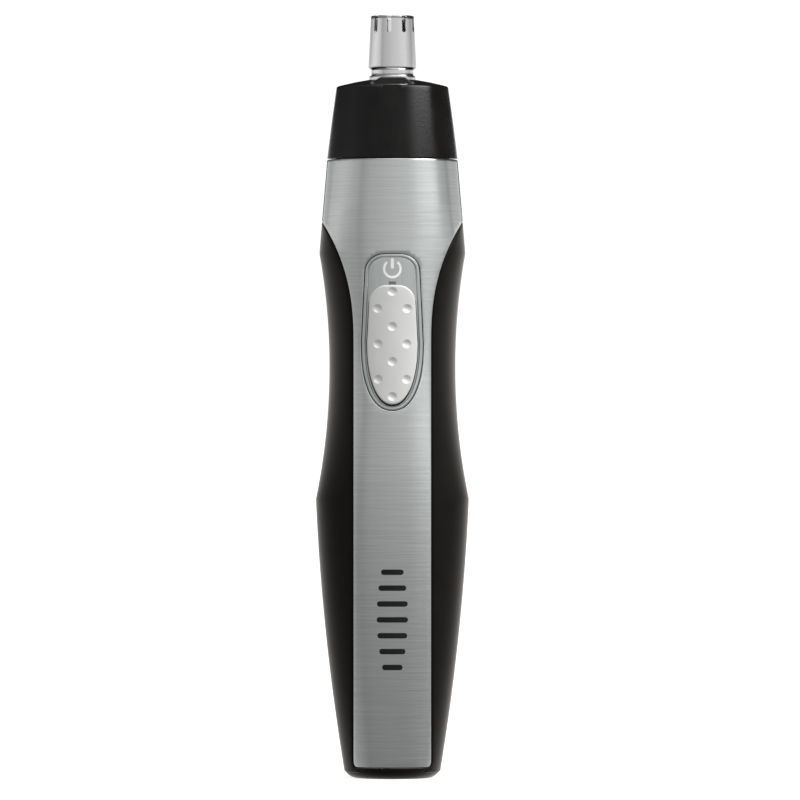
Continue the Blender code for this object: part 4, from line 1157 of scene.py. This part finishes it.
BELOW = [
    (-180, 0.7), (-120, 0.75), (-85, 0.42), (-55, 0.28),
    (55, 0.26), (85, 0.38), (120, 0.7), (180, 0.7),
]
FOOT_LIFT = [(-180, 0), (-140, 5), (-70, 5), (-35, 0), (180, 0)]


def by_bearing(nodes, turn, stops):
    """A value that depends on the bearing, from (degrees, value) stops."""
    share = nodes.spread(turn, -math.pi, math.pi)
    peak = max(level for _, level in stops)
    shade = nodes.ramp(share, [((angle + 180) / 360, level / peak) for angle, level in stops])
    return nodes.math("MULTIPLY", shade, peak)


def rise(nodes, value, start, end, low=0.0, high=1.0, smooth=True):
    """From low to high between two angles in degrees."""
    return nodes.spread(value, math.radians(start), math.radians(end), low, high, smooth)


def window(nodes, value, start, full, fade, end):
    """1 between two angles in degrees, with soft edges."""
    return nodes.math("MULTIPLY", rise(nodes, value, start, full), rise(nodes, value, fade, end, 1.0, 0.0))


def blended(nodes, share, first, second):
    return nodes.math("ADD", first, nodes.math("MULTIPLY", share, nodes.math("SUBTRACT", second, first)))


def room_level(nodes, turn, height):
    """The room: a bright band at the trimmer's own height, dim above, lit overhead, and a floor below."""
    band = by_bearing(nodes, turn, BAND)
    overhead = nodes.math("MULTIPLY", rise(nodes, height, 45, 75), OVERHEAD_LEVEL)
    above = nodes.math("ADD", by_bearing(nodes, turn, ABOVE), overhead)
    tilt = nodes.math("MULTIPLY", nodes.math("COSINE", turn), math.radians(BAND_TILT))
    level = nodes.math("SUBTRACT", height, tilt)
    upper = blended(nodes, rise(nodes, level, BAND_TOP - 1, BAND_TOP + 1), band, above)
    lift = nodes.math("MULTIPLY", by_bearing(nodes, turn, FOOT_LIFT), math.radians(1))
    foot = rise(nodes, nodes.math("SUBTRACT", height, lift), -7, 4)
    return blended(nodes, foot, by_bearing(nodes, turn, BELOW), upper)


def lamp_level(nodes, turn, height):
    """Two soft boxes: a leaning one on the right, brighter up and to the side, and a weaker one above."""
    lean = nodes.math("SUBTRACT", turn, nodes.math("MULTIPLY", height, 0.4))
    box = nodes.math("MULTIPLY", window(nodes, lean, 18, 44, 73, 81), window(nodes, height, 13, 16, 42, 60))
    side = rise(nodes, turn, 40, 72, 0.6, 1.0, False)
    gain = nodes.math("MULTIPLY", side, rise(nodes, height, 16, 26, 1.0, 2.0, False))
    lamp = nodes.math("MULTIPLY", nodes.math("MULTIPLY", box, gain), LAMP_LEVEL)
    box = nodes.math("MULTIPLY", window(nodes, turn, -70, 20, 80, 95), window(nodes, height, 20, 32, 60, 75))
    return nodes.math("ADD", lamp, nodes.math("MULTIPLY", box, HIGH_LAMP_LEVEL))


def make_world():
    """Soft studio light, in front of a plain white backdrop that only the camera sees."""
    world = bpy.data.worlds.new("studio")
    bpy.context.scene.world = world
    world.use_nodes = True
    world.node_tree.nodes.clear()
    nodes = Nodes(world.node_tree)
    parts = nodes.add("ShaderNodeSeparateXYZ")
    nodes.link(nodes.add("ShaderNodeTexCoord").outputs["Generated"], parts.inputs[0])
    x, y, z = parts.outputs
    turn = nodes.math("ARCTAN2", x, nodes.math("MULTIPLY", y, -1.0))
    height = nodes.math("ARCSINE", z)
    light = nodes.math("ADD", room_level(nodes, turn, height), lamp_level(nodes, turn, height))
    choose = nodes.add("ShaderNodeMixShader")
    nodes.link(nodes.add("ShaderNodeLightPath").outputs["Is Camera Ray"], choose.inputs[0])
    for level, socket in ((light, choose.inputs[1]), (BACKDROP_LEVEL, choose.inputs[2])):
        shader = nodes.add("ShaderNodeBackground")
        shader.inputs["Color"].default_value = (1, 1, 1, 1)
        nodes.link(level, shader.inputs["Strength"])
        nodes.link(shader.outputs[0], socket)
    nodes.link(choose.outputs[0], nodes.add("ShaderNodeOutputWorld").inputs["Surface"])


def make_floor():
    """A wide pale disc that gives off light of its own and doesn't show in the trimmer."""
    made, _, shader = new_material("floor")
    set_inputs(shader, {"Base Color": (0.4, 0.4, 0.4, 1.0), "Roughness": 1.0, "Specular IOR Level": 0.0})
    set_inputs(shader, {"Emission Color": (1, 1, 1, 1), "Emission Strength": 0.86})
    ground = bmesh.new()
    bmesh.ops.create_circle(ground, cap_ends=True, radius=30.0, segments=96)
    mesh = bpy.data.meshes.new("floor")
    ground.to_mesh(mesh)
    ground.free()
    mesh.materials.append(made)
    floor = linked("floor", mesh)
    floor.visible_glossy = False
    floor.visible_diffuse = False


def make_camera():
    """Level, square to the front, a little to the right of the trimmer's axis."""
    data = bpy.data.cameras.new("camera")
    data.lens = 355
    data.clip_start = 0.05
    data.clip_end = 100
    camera = linked("camera", data)
    camera.location = (0.0014, -1.45, TOP_Z * MM * 0.4958)
    camera.rotation_euler = (math.pi / 2, 0, 0)
    bpy.context.scene.camera = camera


def main():
    bpy.context.scene.view_settings.view_transform = "Standard"
    make_camera()
    make_world()
    make_floor()
    finish_frame_nodes()
    make_front_plate()
    make_rear_plate()
    make_grip()
    make_bezel()
    make_button()
    make_battery_door()
    make_cap()
    make_outer_cutter()
    make_inner_cutter()
    make_rotor_hub()
    make_head_seat()
    make_drive_coupler()
    make_head_retainer()
    make_battery()
    make_springs()


main()
